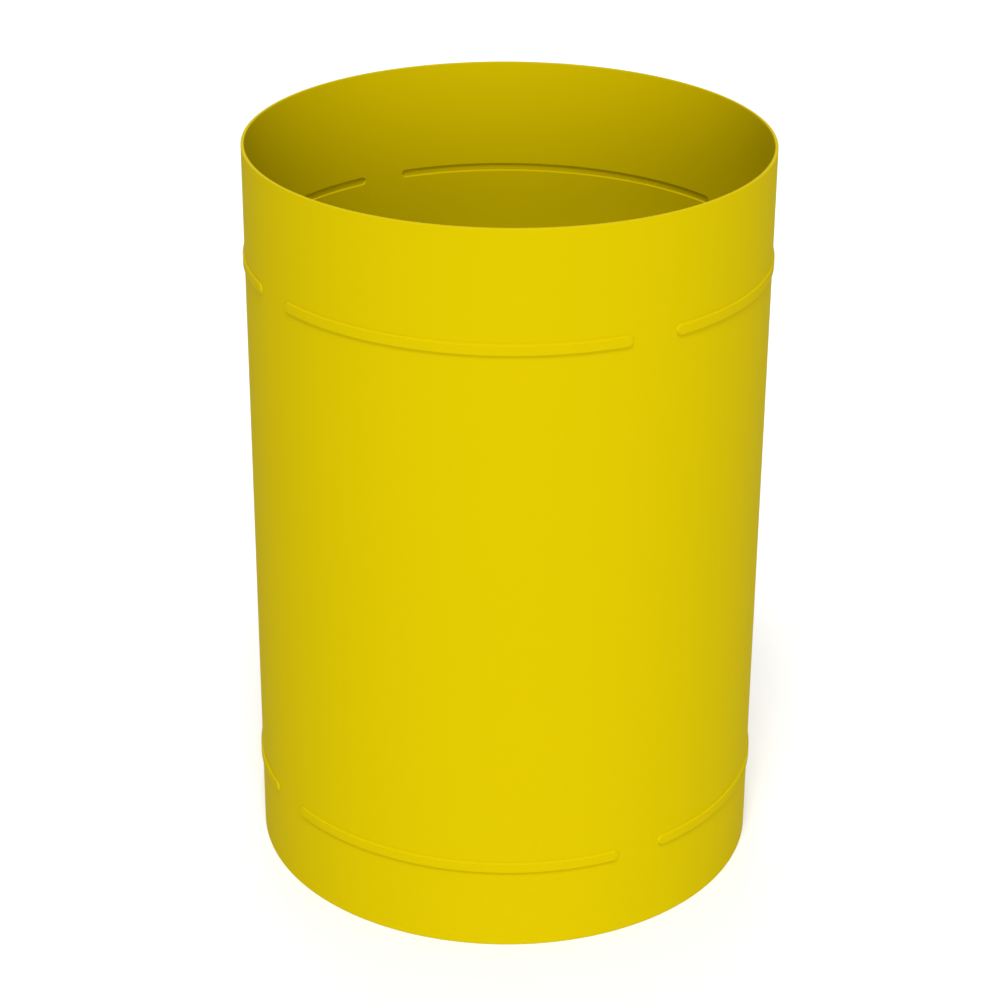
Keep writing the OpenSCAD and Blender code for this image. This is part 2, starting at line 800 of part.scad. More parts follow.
// A latch, released: its hub is proud of its plate and has a recess for its spring
module latch(turn) {
    proud = 0.5;
    spring_depth = 4;
    color("silver") rotate([0, 0, turn]) translate([latch_r, latch_t / 2, latch_z]) rotate([quarter, 0, 0])
        difference() {
            union() {
                translate([0, 0, proud]) linear_extrude(latch_t - 2 * proud) latch_outline();
                cylinder(r = latch_hub_r, h = latch_t);
            }
            translate([0, 0, -1]) cylinder(d = latch_pin_d + 2 * pin_gap, h = latch_t + 2);
            translate([0, 0, -1]) cylinder(r = latch_hub_r - 2.5, h = spring_depth + 1);
        }
}

module latch_pins() {
    color("gainsboro") for (turn = [0, 180]) rotate([0, 0, turn])
        translate([latch_r, arm_half_w + 2, latch_z]) rotate([quarter, 0, 0]) {
            cylinder(d = latch_pin_d, h = 2 * arm_half_w + 4);
            cylinder(d = latch_pin_d + 4, h = 1.8);
        }
}

// The coils of the springs that swing the latches out, each on its latch's pin
module latch_springs() {
    wire = 1;
    coil_r = latch_pin_d / 2 + wire / 2 + 0.2;
    color("gray") for (turn = [0, 180]) rotate([0, 0, turn]) for (k = [0 : 2])
        translate([latch_r, latch_t / 2 - 0.6 - k * (wire + 0.1), latch_z]) rotate([quarter, 0, 0])
            rotate_extrude($fn = 48) translate([coil_r, 0]) circle(d = wire, $fn = 16);
}

// ---------- upper post ----------

module upper_tube() {
    color("gold") difference() {
        translate([0, 0, foot_disc_top]) ring(upper_r, upper_ir, upper_top - foot_disc_top);
        translate([bolt_in_x - window_gap, -upper_r - 2, foot_disc_top - 1])
            cube([bolt_w + 2 * window_gap, upper_wall + 14, bolt_t + 2]);
        band_groove(upper_r, upper_band_top);
    }
}

module foot_disc() {
    color("silver") difference() {
        translate([0, 0, foot_disc_bot]) cylinder(r = lower_ir - slide_gap - 0.5, h = foot_disc_t);
        translate([0, 0, foot_disc_bot - 1]) {
            cylinder(r = lift_or + 2, h = foot_disc_t + 2);
            for (side = [-1, 1]) translate([side * upper_gas_offset, 0, 0])
                cylinder(d = upper_gas_d + 6, h = foot_disc_t + 2);
            translate([0, -lock_offset, 0]) cylinder(d = rod_d + 2 * pin_gap, h = foot_disc_t + 2);
        }
        keeper_screw_places() bolt_hole(keeper_screw_d, foot_disc_t - 3);
    }
}

module wear_ring() {
    color("dimgray") difference() {
        translate([0, 0, foot_disc_top]) ring(lower_ir - slide_gap, upper_r + seat_gap, wear_ring_h);
        translate([bolt_in_x - window_gap, -lower_r, foot_disc_top - 1])
            cube([bolt_w + 2 * window_gap, lower_r - upper_ir / 2, bolt_t + 2]);
    }
}

module crown_plate() {
    color("silver") difference() {
        translate([0, 0, crown_bot]) cylinder(r = upper_ir - seat_gap, h = crown_t);
        for (side = [-1, 1]) translate([side * upper_gas_offset, 0, crown_top])
            bolt_hole(upper_stud_d, crown_t);
        translate([0, -lock_offset, crown_bot - 1]) cylinder(d = rod_d + 2 * pin_gap, h = crown_t + 2);
        head_screw_places(crown_top) bolt_hole(head_screw_d, crown_t);
    }
}

// ---------- head, lock cover and handle ----------

spindle_d = 24;
spindle_top = head_top - 8;
well_d = 32;
handle_pin_y = 8;
handle_z = head_top - 7;
handle_pin_d = 6;
handle_pin_l = 24;
pocket_r = 14;
pocket_x = 16;
pocket_y = handle_pin_y + 30;
pocket_l = 22;
pocket_drop = 3;
cover_boss_r = 7;
cover_screw_d = 5;
cover_pivot_x = 24;
cover_t = 3;

// The handle's middle line, as solid bar grown by a margin: the bar itself or the groove for it
module handle_bar(margin) {
    bend = 10;
    r = handle_d / 2 + margin;
    for (side = [-1, 1]) {
        translate([side * handle_w / 2, handle_pin_y, 0]) rotate([-quarter, 0, 0])
            cylinder(r = r, h = handle_reach - bend);
        translate([side * (handle_w / 2 - bend), handle_pin_y + handle_reach - bend, 0])
            rotate([0, 0, side > 0 ? 0 : quarter]) rotate_extrude(angle = quarter)
                translate([bend, 0]) circle(r = r);
    }
    translate([-handle_w / 2 + bend, handle_pin_y + handle_reach, 0]) rotate([0, quarter, 0])
        cylinder(r = r, h = handle_w - 2 * bend);
}

module handle() {
    boss_l = handle_d + 1.5;
    color("silver") translate([0, 0, handle_z]) difference() {
        union() {
            handle_bar(0);
            for (side = [-1, 1]) translate([side * handle_w / 2 - boss_l / 2, handle_pin_y, 0])
                rotate([0, quarter, 0]) cylinder(d = handle_d + 2, h = boss_l);
        }
        translate([-handle_w, handle_pin_y, 0]) rotate([0, quarter, 0])
            cylinder(d = handle_pin_d + 2 * pin_gap, h = 2 * handle_w);
    }
}

module handle_pin_places() {
    for (side = [-1, 1]) translate([side * handle_w / 2 - handle_pin_l / 2, handle_pin_y, handle_z])
        rotate([0, quarter, 0]) children();
}

module handle_pins() {
    color("gainsboro") handle_pin_places() cylinder(d = handle_pin_d, h = handle_pin_l);
}

// Recess for the folded handle, open at the top, with a pocket for the fingers
module handle_recess() {
    clear = 2;
    half = handle_d / 2 + clear;
    depth = handle_z - half;
    for (side = [-1, 1]) translate([side * handle_w / 2 - half, handle_pin_y - half - 1, depth])
        cube([2 * half, handle_reach + 2 * half + 1, head_h]);
    translate([-handle_w / 2, handle_pin_y + handle_reach - half, depth]) cube([handle_w, 2 * half, head_h]);
    translate([0, pocket_y, depth - pocket_drop]) {
        for (side = [-1, 1]) translate([side * pocket_x, 0, 0]) cylinder(r = pocket_r, h = head_h);
        translate([-pocket_x, -pocket_r, 0]) cube([2 * pocket_x, 2 * pocket_r, head_h]);
        translate([-pocket_x - pocket_r, 0, 0]) cube([2 * (pocket_x + pocket_r), pocket_l, head_h]);
    }
}

module head_screw_places(z) {
    for (k = [0 : 3]) around(head_screw_turn + quarter * k, head_screw_r) translate([0, 0, z]) children();
}

module head_screw_hole() {
    translate([0, 0, -head_cone_h])
        cylinder(d1 = head_screw_d + 2 * bolt_gap, d2 = head_cone_d, h = head_cone_h + 0.1);
    bolt_hole(head_screw_d, head_h + spigot_h);
}

module head() {
    edge = 8;
    steps = 6;
    arc = [for (k = [0 : steps]) let (a = k * quarter / steps)
        [upper_r - edge + edge * cos(a), head_h - edge + edge * sin(a)]];
    color("gold") difference() {
        translate([0, 0, upper_top]) union() {
            rotate_extrude() polygon(concat([[0, 0], [upper_r, 0]], arc, [[0, head_h]]));
            translate([0, 0, -spigot_h]) cylinder(r = upper_ir - seat_gap, h = spigot_h + 1);
        }
        handle_recess();
        handle_pin_places() cylinder(d = handle_pin_d + 2 * pin_gap, h = handle_pin_l + bolt_gap);
        translate([0, -lock_offset, 0]) {
            translate([0, 0, crown_top - 1])
                cylinder(d = spindle_d + 2 * pin_gap, h = spindle_top - crown_top + 2);
            translate([0, 0, spindle_top]) cylinder(d = well_d, h = head_h);
            translate([cover_pivot_x, 0, head_top]) bolt_hole(cover_screw_d, 12);
        }
        for (side = [-1, 1]) translate([side * upper_gas_offset, 0, crown_top - 1])
            cylinder(r = upper_stud_d + 3, h = 13);
        head_screw_places(head_top) head_screw_hole();
    }
}

module head_screws() {
    length = head_h + spigot_h + crown_t - bolt_short;
    color("gainsboro") head_screw_places(head_top) difference() {
        union() {
            translate([0, 0, -head_cone_h])
                cylinder(d1 = head_screw_d, d2 = head_cone_d - 0.8, h = head_cone_h - 0.1);
            translate([0, 0, -length]) cylinder(d = head_screw_d, h = length - 2);
        }
        translate([0, 0, -3]) cylinder(r = 3, h = 4, $fn = 6);
    }
}

module lock_cover() {
    color("goldenrod") translate([cover_pivot_x, -lock_offset, head_top]) difference() {
        union() {
            translate([-cover_pivot_x, 0, 0]) cylinder(r = well_d / 2 + 2, h = cover_t);
            translate([-cover_pivot_x, -cover_boss_r, 0]) cube([cover_pivot_x, 2 * cover_boss_r, cover_t]);
            cylinder(r = cover_boss_r, h = cover_t);
        }
        translate([0, 0, -1]) cylinder(d = cover_screw_d + 2 * pin_gap, h = cover_t + 2);
    }
}

module cover_screw() {
    color("gainsboro") translate([cover_pivot_x, -lock_offset, head_top + cover_t + 0.2])
        cap_screw(cover_screw_d, cover_t + 11);
}

// ---------- lock ----------

// One side of an involute tooth: points from the base circle to the tip circle
function involute_point(base, radius, turn) = let (
    a = acos(min(1, base / radius)),
    roll = tan(a) - a * PI / 180
) [radius * cos(turn + roll * 180 / PI), radius * sin(turn + roll * 180 / PI)];

pressure = 20;
backlash = 0.25;
rack_gap = 0.3;

module pinion_outline() {
    base = pinion_pitch_r * cos(pressure);
    tip = pinion_pitch_r + lock_module - rack_gap;
    root = pinion_pitch_r - 1.25 * lock_module;
    steps = 6;
    pitch_roll = (tan(pressure) - pressure * PI / 180) * 180 / PI;
    half = quarter / lock_teeth - backlash / pinion_pitch_r * quarter / PI;
    flank = [for (k = [0 : steps]) involute_point(base, base + (tip - base) * k / steps, -half - pitch_roll)];
    mirrored = [for (k = [steps : -1 : 0]) [flank[k][0], -flank[k][1]]];
    circle(r = root);
    for (k = [0 : lock_teeth - 1]) rotate((k + 0.5) * 360 / lock_teeth)
        polygon(concat([[root * 0.6, flank[0][1]]], flank, mirrored, [[root * 0.6, -flank[0][1]]]));
}

module lock_pinion() {
    color("silver") translate([0, -lock_offset, foot_disc_top + 0.3]) difference() {
        linear_extrude(pinion_t) pinion_outline();
        translate([0, 0, -1]) cylinder(d = rod_d + 2 * pin_gap, h = pinion_t + 2);
    }
}

module lock_rod() {
    bottom = foot_disc_bot + 1;
    color("gainsboro") translate([0, -lock_offset, 0]) {
        translate([0, 0, bottom]) cylinder(d = rod_d, h = crown_top - bottom);
        translate([0, 0, foot_disc_top + pinion_t + 0.6]) cylinder(d = rod_d + 8, h = 5);
    }
}

module lock_spindle() {
    color("silver") translate([0, -lock_offset, 0]) difference() {
        translate([0, 0, crown_top]) cylinder(d = spindle_d, h = spindle_top - crown_top);
        translate([0, 0, spindle_top - 10]) cylinder(r = 7, h = 11, $fn = 3);
    }
}

// The rack's teeth, pointing to -X, with one tooth's middle at y = 0
module rack_teeth(count_out, count_in) {
    pitch = PI * lock_module;
    tip = pitch / 4 - backlash / 2 - (lock_module - rack_gap) * tan(pressure);
    root = pitch / 4 - backlash / 2 + lock_module * 1.25 * tan(pressure);
    back = pinion_pitch_r + lock_module * 1.25 + 0.1;
    for (k = [-count_out : count_in]) translate([0, k * pitch])
        polygon([
            [back, -root], [back, root],
            [pinion_pitch_r - lock_module + rack_gap, tip], [pinion_pitch_r - lock_module + rack_gap, -tip]
        ]);
}

module lock_bolt() {
    chamfer = 5;
    x0 = bolt_in_x;
    x1 = bolt_in_x + bolt_w;
    y0 = -bolt_end_y;
    y1 = -bolt_tail_y;
    color("silver") translate([0, 0, foot_disc_top + 0.1]) linear_extrude(bolt_t - 0.2) {
        polygon([[x0, y1], [x0, y0], [x1 - chamfer, y0], [x1, y0 + chamfer], [x1, y1]]);
        translate([0, -lock_offset]) rack_teeth(2, 4);
    }
}

keeper_y = [-lock_offset - 30, -lock_offset - 18];
keeper_screw_d = 5;
keeper_leg = 9;
keeper_gap = 0.4;
keeper_top_t = 4.6;
// The opening is wider on the rack's side, where the teeth run through it
keeper_x = [bolt_in_x - 2.25 * lock_module - keeper_gap, bolt_in_x + bolt_w + keeper_gap];

module keeper_screw_places() {
    for (x = [keeper_x[0] - keeper_leg / 2, keeper_x[1] + keeper_leg / 2])
        translate([x, (keeper_y[0] + keeper_y[1]) / 2, foot_disc_top]) children();
}

// A bridge over the bolt that keeps it on the foot disc
module bolt_keeper() {
    depth = keeper_y[1] - keeper_y[0];
    opening_h = bolt_t + keeper_gap;
    color("silver") difference() {
        translate([keeper_x[0] - keeper_leg, keeper_y[0], foot_disc_top])
            cube([keeper_x[1] - keeper_x[0] + 2 * keeper_leg, depth, opening_h + keeper_top_t]);
        translate([keeper_x[0], keeper_y[0] - 1, foot_disc_top - 1])
            cube([keeper_x[1] - keeper_x[0], depth + 2, opening_h + 1]);
        keeper_screw_places() translate([0, 0, opening_h + keeper_top_t])
            bolt_hole(keeper_screw_d, opening_h + keeper_top_t);
    }
}

module keeper_screws() {
    seat = bolt_t + keeper_gap + keeper_top_t;
    color("gainsboro") keeper_screw_places() translate([0, 0, seat]) cap_screw(keeper_screw_d, seat + 8);
}

// ---------- nodes ----------

casing_shell();
base_plate();
base_angle_ring();
base_ring_bolts();
drain_grate();
post_buffers();
pillar(0);  // pillar_1
pillar(1);  // pillar_2
pillar(2);  // pillar_3
pillar(3);  // pillar_4
pillar_foot_bolts();
pillar_head_bolts();
guide_plate();
guide_bush();
guide_clamp_ring();
guide_wiper_seal();
clamp_screws();
casing_lugs();
lug_bolts();
latch_catches();
catch_bolts();
lower_gas_bracket();
lower_gas_pin();
lower_gas_cylinder();
lower_gas_rod();
lower_tube();
lower_collar();
lift_tube();
lift_nut();
slide_shoes();
shoe_bolts();
stage_buffer();
stage_bush();
stage_wiper_seal();
stage_top_ring();
stage_ring_screws();
reflective_band(lower_r, lower_band_top);  // lower_band
upper_gas_cylinders();
upper_gas_rods();
latch_pins();
latch_springs();
latch(180);  // latch_left
latch(0);  // latch_right
upper_tube();
foot_disc();
wear_ring();
crown_plate();
head();
head_screws();
reflective_band(upper_r, upper_band_top);  // upper_band
lock_rod();
lock_pinion();
lock_spindle();
lock_bolt();
bolt_keeper();
keeper_screws();
lock_cover();
cover_screw();
handle();
handle_pins();
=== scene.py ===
# %% [markdown]
# # A retractable bollard in its ground casing
# The bollard is a two-stage post that slides up out of a round yellow casing. The CAD model holds every part
# that fits or moves. This script loads it as a fixed frame and builds the looks round it: the pressed casing,
# the fixings, the springs and the finish of every surface.

# %% Start
import json
import math

import bmesh
import bpy
import numpy as np
from mathutils import Matrix, Vector


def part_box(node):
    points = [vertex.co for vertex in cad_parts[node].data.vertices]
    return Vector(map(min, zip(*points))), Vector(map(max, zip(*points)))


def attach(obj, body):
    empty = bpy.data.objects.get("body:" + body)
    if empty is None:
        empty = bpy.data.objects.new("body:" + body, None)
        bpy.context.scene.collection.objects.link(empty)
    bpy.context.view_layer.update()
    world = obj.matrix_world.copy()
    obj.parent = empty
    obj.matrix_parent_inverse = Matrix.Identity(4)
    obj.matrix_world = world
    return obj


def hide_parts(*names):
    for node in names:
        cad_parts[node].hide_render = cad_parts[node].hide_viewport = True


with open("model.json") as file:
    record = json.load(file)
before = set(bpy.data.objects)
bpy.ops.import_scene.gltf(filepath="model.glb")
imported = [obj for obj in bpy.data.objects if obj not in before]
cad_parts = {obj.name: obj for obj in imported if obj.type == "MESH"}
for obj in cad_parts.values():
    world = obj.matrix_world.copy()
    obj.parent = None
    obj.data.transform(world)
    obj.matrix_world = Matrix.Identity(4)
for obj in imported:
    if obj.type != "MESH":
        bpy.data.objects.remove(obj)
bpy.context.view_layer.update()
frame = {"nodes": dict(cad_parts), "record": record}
nodes = frame["nodes"]

# %% [markdown]
# ## Camera
# The casing is seen from above and in front, so that the open mouth shows as a flat ellipse. A long lens keeps
# the sides nearly parallel. The camera's distance is counted in casing radii, so it follows the casing's size.

# %% Camera
plate_low, plate_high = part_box("base_plate")
SEAT_GAP = 0.0003  # between the base plate and the casing round it
CASING_WALL = 0.004
CASING_R = (plate_high.x - plate_low.x) / 2 + SEAT_GAP + CASING_WALL
CASING_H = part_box("casing_shell")[1].z


def add_camera(back, up, pitch, yaw, roll, lens):
    """Makes the scene's camera: back and up are in casing radii, and the angles in radians."""
    data = bpy.data.cameras.new("camera")
    data.lens = lens
    camera = bpy.data.objects.new("camera", data)
    bpy.context.scene.collection.objects.link(camera)
    camera.location = (0, -back * CASING_R, up * CASING_R)
    forward = Vector((math.sin(yaw) * math.cos(pitch), math.cos(yaw) * math.cos(pitch), math.sin(pitch)))
    turn = forward.to_track_quat("-Z", "Y").to_matrix() @ Matrix.Rotation(roll, 3, "Z")
    camera.rotation_euler = turn.to_euler()
    bpy.context.scene.camera = camera


add_camera(back=9.5524, up=6.0143, pitch=-0.4477, yaw=-0.0028, roll=0.0065, lens=96.0)
print("casing: radius", round(CASING_R, 4), "height", round(CASING_H, 4))

# %% [markdown]
# ## Node groups that several finishes share
# Paint, zinc and polymer all need a fine grain and a slow change of tone. A node group works these out once,
# with named inputs, and each material sets its own scale and strength. The groups give only values, and the
# shader itself stays in each material, which keeps it readable by other programs.


# %% Helpers for node trees
def link(tree, source, target):
    tree.links.new(source, target)


def node(tree, kind, **settings):
    """Adds a node and sets its properties. A key like in_3 or in_Scale sets the input with that name."""
    made = tree.nodes.new(kind)
    for key, value in settings.items():
        if key.startswith("in_"):
            name = key[3:]
            made.inputs[int(name) if name.isdigit() else name.replace("_", " ")].default_value = value
        else:
            setattr(made, key, value)
    return made


def float_inputs(tree, inputs):
    """Adds float inputs {name: default} to a node tree."""
    for label, default in inputs.items():
        socket = tree.interface.new_socket(label, in_out="INPUT", socket_type="NodeSocketFloat")
        socket.default_value = default


def new_group(name, inputs, outputs):
    """A shader node group with float inputs {name: default} and outputs [name]."""
    tree = bpy.data.node_groups.new(name, "ShaderNodeTree")
    float_inputs(tree, inputs)
    for label in outputs:
        tree.interface.new_socket(label, in_out="OUTPUT", socket_type="NodeSocketFloat")
    return tree, tree.nodes.new("NodeGroupInput"), tree.nodes.new("NodeGroupOutput")


def noise(tree, scale, detail, vector):
    """A noise texture on that vector. Its scale is a number or an output socket."""
    made = node(tree, "ShaderNodeTexNoise", in_Detail=detail)
    link(tree, vector, made.inputs["Vector"])
    if isinstance(scale, (int, float)):
        made.inputs["Scale"].default_value = scale
    else:
        link(tree, scale, made.inputs["Scale"])
    return made.outputs["Fac"]


def math_node(tree, operation, a, b=None):
    """A Math node on two values, each a number or an output socket."""
    made = node(tree, "ShaderNodeMath", operation=operation)
    for i, value in enumerate(v for v in (a, b) if v is not None):
        if isinstance(value, (int, float)):
            made.inputs[i].default_value = value
        else:
            link(tree, value, made.inputs[i])
    return made.outputs[0]


def object_place(tree):
    """The point's place on the object, which stays put when the object or the camera moves."""
    return node(tree, "ShaderNodeTexCoord").outputs["Object"]


# %% [markdown]
# ### Grain, wear and dust
# Three effects come back in many finishes. Grain is plain noise at two scales. Wear shows where an edge stands
# out, which Pointiness measures, and dust where a surface faces up, which the normal's height tells. Noise
# breaks both up, because neither is even on a real object.


# %% Shared effects
def build_grain():
    """Grain: a slow change of tone from 0 to 1, and a fine height for a bump."""
    tree, given, result = new_group("surface_grain", {"Tone scale": 6.0, "Grain scale": 900.0},
                                    ["Tone", "Height"])
    place = object_place(tree)
    link(tree, noise(tree, given.outputs["Tone scale"], 4.0, place), result.inputs["Tone"])
    link(tree, noise(tree, given.outputs["Grain scale"], 2.0, place), result.inputs["Height"])
    return tree


def build_wear():
    """Wear: 1 on convex edges, broken up by noise, and 0 elsewhere."""
    tree, given, result = new_group("edge_wear", {"Amount": 0.5, "Patch scale": 90.0}, ["Mask"])
    geometry = node(tree, "ShaderNodeNewGeometry")
    place = object_place(tree)
    edge = node(tree, "ShaderNodeMapRange", in_1=0.60, in_2=0.70)
    link(tree, geometry.outputs["Pointiness"], edge.inputs[0])
    patches = node(tree, "ShaderNodeMapRange", in_1=0.45, in_2=0.6)
    link(tree, noise(tree, given.outputs["Patch scale"], 5.0, place), patches.inputs[0])
    mask = math_node(tree, "MULTIPLY", edge.outputs[0], patches.outputs[0])
    link(tree, math_node(tree, "MULTIPLY", mask, given.outputs["Amount"]), result.inputs["Mask"])
    return tree


def build_dust():
    """Dust: 1 on patches of surfaces that face up, and 0 on walls and undersides."""
    tree, given, result = new_group("settled_dust", {"Amount": 0.4, "Patch scale": 14.0}, ["Mask"])
    normal = node(tree, "ShaderNodeSeparateXYZ")
    link(tree, node(tree, "ShaderNodeNewGeometry").outputs["Normal"], normal.inputs[0])
    flat = node(tree, "ShaderNodeMapRange", in_1=0.6, in_2=0.98)
    link(tree, normal.outputs["Z"], flat.inputs[0])
    place = object_place(tree)
    patches = node(tree, "ShaderNodeMapRange", in_1=0.4, in_2=0.7)
    link(tree, noise(tree, given.outputs["Patch scale"], 6.0, place), patches.inputs[0])
    mask = math_node(tree, "MULTIPLY", flat.outputs[0], patches.outputs[0])
    link(tree, math_node(tree, "MULTIPLY", mask, given.outputs["Amount"]), result.inputs["Mask"])
    return tree


GRAIN, WEAR, DUST = build_grain(), build_wear(), build_dust()
print("shared effects:", GRAIN.name, WEAR.name, DUST.name)

# %% [markdown]
# ## Finishes
# A finish is one Principled shader. Its base colour starts from two close tones, which the grain mixes, and
# then takes bare metal at worn edges and dust on what faces up. Roughness follows the same tone, because a
# patch that is a little darker is usually a little smoother too.


# %% Finish builder
def use_group(tree, group, **inputs):
    """Places a shared group. Keys are its input names in lower case, with _ for a space."""
    made = tree.nodes.new("ShaderNodeGroup")
    made.node_tree = group
    for key, value in inputs.items():
        made.inputs[key.replace("_", " ").capitalize()].default_value = value
    return made


def mix_colour(tree, factor, a, b):
    """Mixes two colours, each a tuple or an output socket, by a factor socket."""
    made = node(tree, "ShaderNodeMix", data_type="RGBA")
    link(tree, factor, made.inputs["Factor"])
    for socket, value in ((made.inputs[6], a), (made.inputs[7], b)):
        if isinstance(value, tuple):
            socket.default_value = (*value, 1.0)
        else:
            link(tree, value, socket)
    return made.outputs[2]


def range_of(tree, value, low, high):
    """Stretches a value from 0..1 to low..high."""
    made = node(tree, "ShaderNodeMapRange", in_3=low, in_4=high)
    link(tree, value, made.inputs[0])
    return made.outputs[0]


def finish_of(name, tones, rough, metal=0.0, grain=900.0, tone_scale=6.0, bump=0.05, depth=0.0002,
              wear=0.0, wear_tone=(0.5, 0.5, 0.5), dust=0.0, dust_tone=(0.32, 0.29, 0.24)):
    """A material with two tones, a roughness range and optional wear and dust."""
    material = bpy.data.materials.new(name)
    material.use_nodes = True
    tree = material.node_tree
    shader = tree.nodes["Principled BSDF"]
    shader.inputs["Metallic"].default_value = metal
    surface = use_group(tree, GRAIN, tone_scale=tone_scale, grain_scale=grain)
    colour = mix_colour(tree, surface.outputs["Tone"], tones[0], tones[1])
    roughness = range_of(tree, surface.outputs["Tone"], rough[0], rough[1])
    if wear:
        worn = use_group(tree, WEAR, amount=wear).outputs["Mask"]
        colour = mix_colour(tree, worn, colour, wear_tone)
    if dust:
        dusty = use_group(tree, DUST, amount=dust).outputs["Mask"]
        colour = mix_colour(tree, dusty, colour, dust_tone)
        roughness = math_node(tree, "ADD", roughness, math_node(tree, "MULTIPLY", dusty, 0.3))
    link(tree, colour, shader.inputs["Base Color"])
    link(tree, roughness, shader.inputs["Roughness"])
    relief = node(tree, "ShaderNodeBump", in_Strength=bump, in_Distance=depth)
    link(tree, surface.outputs["Height"], relief.inputs["Height"])
    link(tree, relief.outputs["Normal"], shader.inputs["Normal"])
    return material


# %% [markdown]
# ## Yellow powder coat
# The casing and the post are powder coated: a thick baked paint with a soft sheen and the faint waviness that
# is called orange peel. It is one strong yellow, so the two tones lie very close together. The casing's coat
# is nearly matt, and the post's, which hands touch, is smoother and has chips at its edges.

# %% Yellow powder coat
YELLOW = ((0.432, 0.334, 0.0), (0.446, 0.345, 0.0))
yellow_coat = finish_of("yellow_powder_coat", YELLOW, (0.62, 0.72), grain=420.0, tone_scale=3.0, bump=0.04,
                        depth=0.0003)
yellow_post = finish_of("yellow_post_coat", YELLOW, (0.34, 0.46), grain=420.0, bump=0.05, depth=0.0003,
                        wear=0.35, wear_tone=(0.42, 0.40, 0.36), dust=0.10)
for coat, level in ((yellow_coat, 0.01), (yellow_post, 0.15)):
    coat.node_tree.nodes["Principled BSDF"].inputs["Specular IOR Level"].default_value = level
print("made", yellow_coat.name, yellow_post.name)

# %% [markdown]
# ## Galvanised steel
# Hot-dip zinc freezes into flat crystals, called spangle. Each crystal reflects a little differently, so a
# Voronoi texture gives every cell its own grey and its own roughness.


# %% Galvanised steel
def add_cells(material, scale, dark, light, rough):
    """Gives each Voronoi cell its own grey and roughness, in place of the even tone."""
    tree = material.node_tree
    shader = tree.nodes["Principled BSDF"]
    cells = node(tree, "ShaderNodeTexVoronoi", in_Scale=scale)
    link(tree, object_place(tree), cells.inputs["Vector"])
    each = node(tree, "ShaderNodeSeparateColor")
    link(tree, cells.outputs["Color"], each.inputs[0])
    plain = shader.inputs["Base Color"].links[0].from_socket
    spangle = mix_colour(tree, each.outputs[0], dark, light)
    half = node(tree, "ShaderNodeMix", data_type="RGBA")
    half.inputs["Factor"].default_value = 0.5
    link(tree, plain, half.inputs[6])
    link(tree, spangle, half.inputs[7])
    link(tree, half.outputs[2], shader.inputs["Base Color"])
    link(tree, range_of(tree, each.outputs[1], rough[0], rough[1]), shader.inputs["Roughness"])


galvanised = finish_of("galvanised_steel", ((0.40, 0.42, 0.43), (0.56, 0.58, 0.59)), (0.35, 0.55), metal=1.0,
                       grain=700.0, tone_scale=9.0, bump=0.06, dust=0.25)
add_cells(galvanised, 110.0, (0.42, 0.44, 0.46), (0.66, 0.68, 0.70), (0.32, 0.52))
print("made", galvanised.name)

# %% [markdown]
# ## Turned and drawn steel
# A gas spring's rod or a lock shaft is drawn or turned, so its surface has fine lines round its axis. Noise
# that is stretched flat along two axes gives those lines.


# %% Bright metals
def add_lines(material, stretch, strength):
    """Adds fine parallel lines as a second bump, from noise that is stretched along two axes."""
    tree = material.node_tree
    shader = tree.nodes["Principled BSDF"]
    stretched = node(tree, "ShaderNodeMapping")
    stretched.inputs["Scale"].default_value = stretch
    link(tree, object_place(tree), stretched.inputs["Vector"])
    lines = noise(tree, 1.0, 2.0, stretched.outputs[0])
    relief = node(tree, "ShaderNodeBump", in_Strength=strength, in_Distance=0.0001)
    link(tree, lines, relief.inputs["Height"])
    link(tree, shader.inputs["Normal"].links[0].from_socket, relief.inputs["Normal"])
    link(tree, relief.outputs["Normal"], shader.inputs["Normal"])


bright_fixing = finish_of("zinc_plated_fixing", ((0.60, 0.61, 0.60), (0.72, 0.73, 0.72)), (0.22, 0.38),
                          metal=1.0, grain=1500.0, tone_scale=60.0, wear=0.3, wear_tone=(0.35, 0.33, 0.30))
stainless = finish_of("brushed_stainless", ((0.56, 0.56, 0.57), (0.66, 0.66, 0.67)), (0.20, 0.34),
                      metal=1.0, grain=1200.0, tone_scale=30.0, bump=0.03)
add_lines(stainless, (40.0, 40.0, 4000.0), 0.12)
print("made", bright_fixing.name, stainless.name)

# %% [markdown]
# ## Enamel, polymer and rubber
# The gas springs are black enamel, the bushes and shoes are a filled sliding polymer, and the seals and
# buffers are rubber. They are all nearly black, so their sheen and grain tell them apart.

# %% Dark finishes
spring_enamel = finish_of("black_enamel", ((0.012, 0.012, 0.014), (0.022, 0.022, 0.024)), (0.18, 0.30),
                          grain=300.0, bump=0.03)
bearing_polymer = finish_of("sliding_polymer", ((0.045, 0.046, 0.050), (0.075, 0.076, 0.080)), (0.42, 0.60),
                            grain=1300.0, tone_scale=25.0, bump=0.12, dust=0.15)
seal_rubber = finish_of("seal_rubber", ((0.016, 0.016, 0.016), (0.032, 0.031, 0.030)), (0.62, 0.82),
                        grain=1800.0, tone_scale=40.0, bump=0.18, dust=0.30)
print("made", spring_enamel.name, bearing_polymer.name, seal_rubber.name)

# %% [markdown]
# ## Reflective sheeting
# The bands on the post throw headlights back. Their film is made of small sealed cells, which show as a
# faint honeycomb under a smooth clear top. The cells are a Voronoi texture's edges, and the clear top is the
# shader's coat.


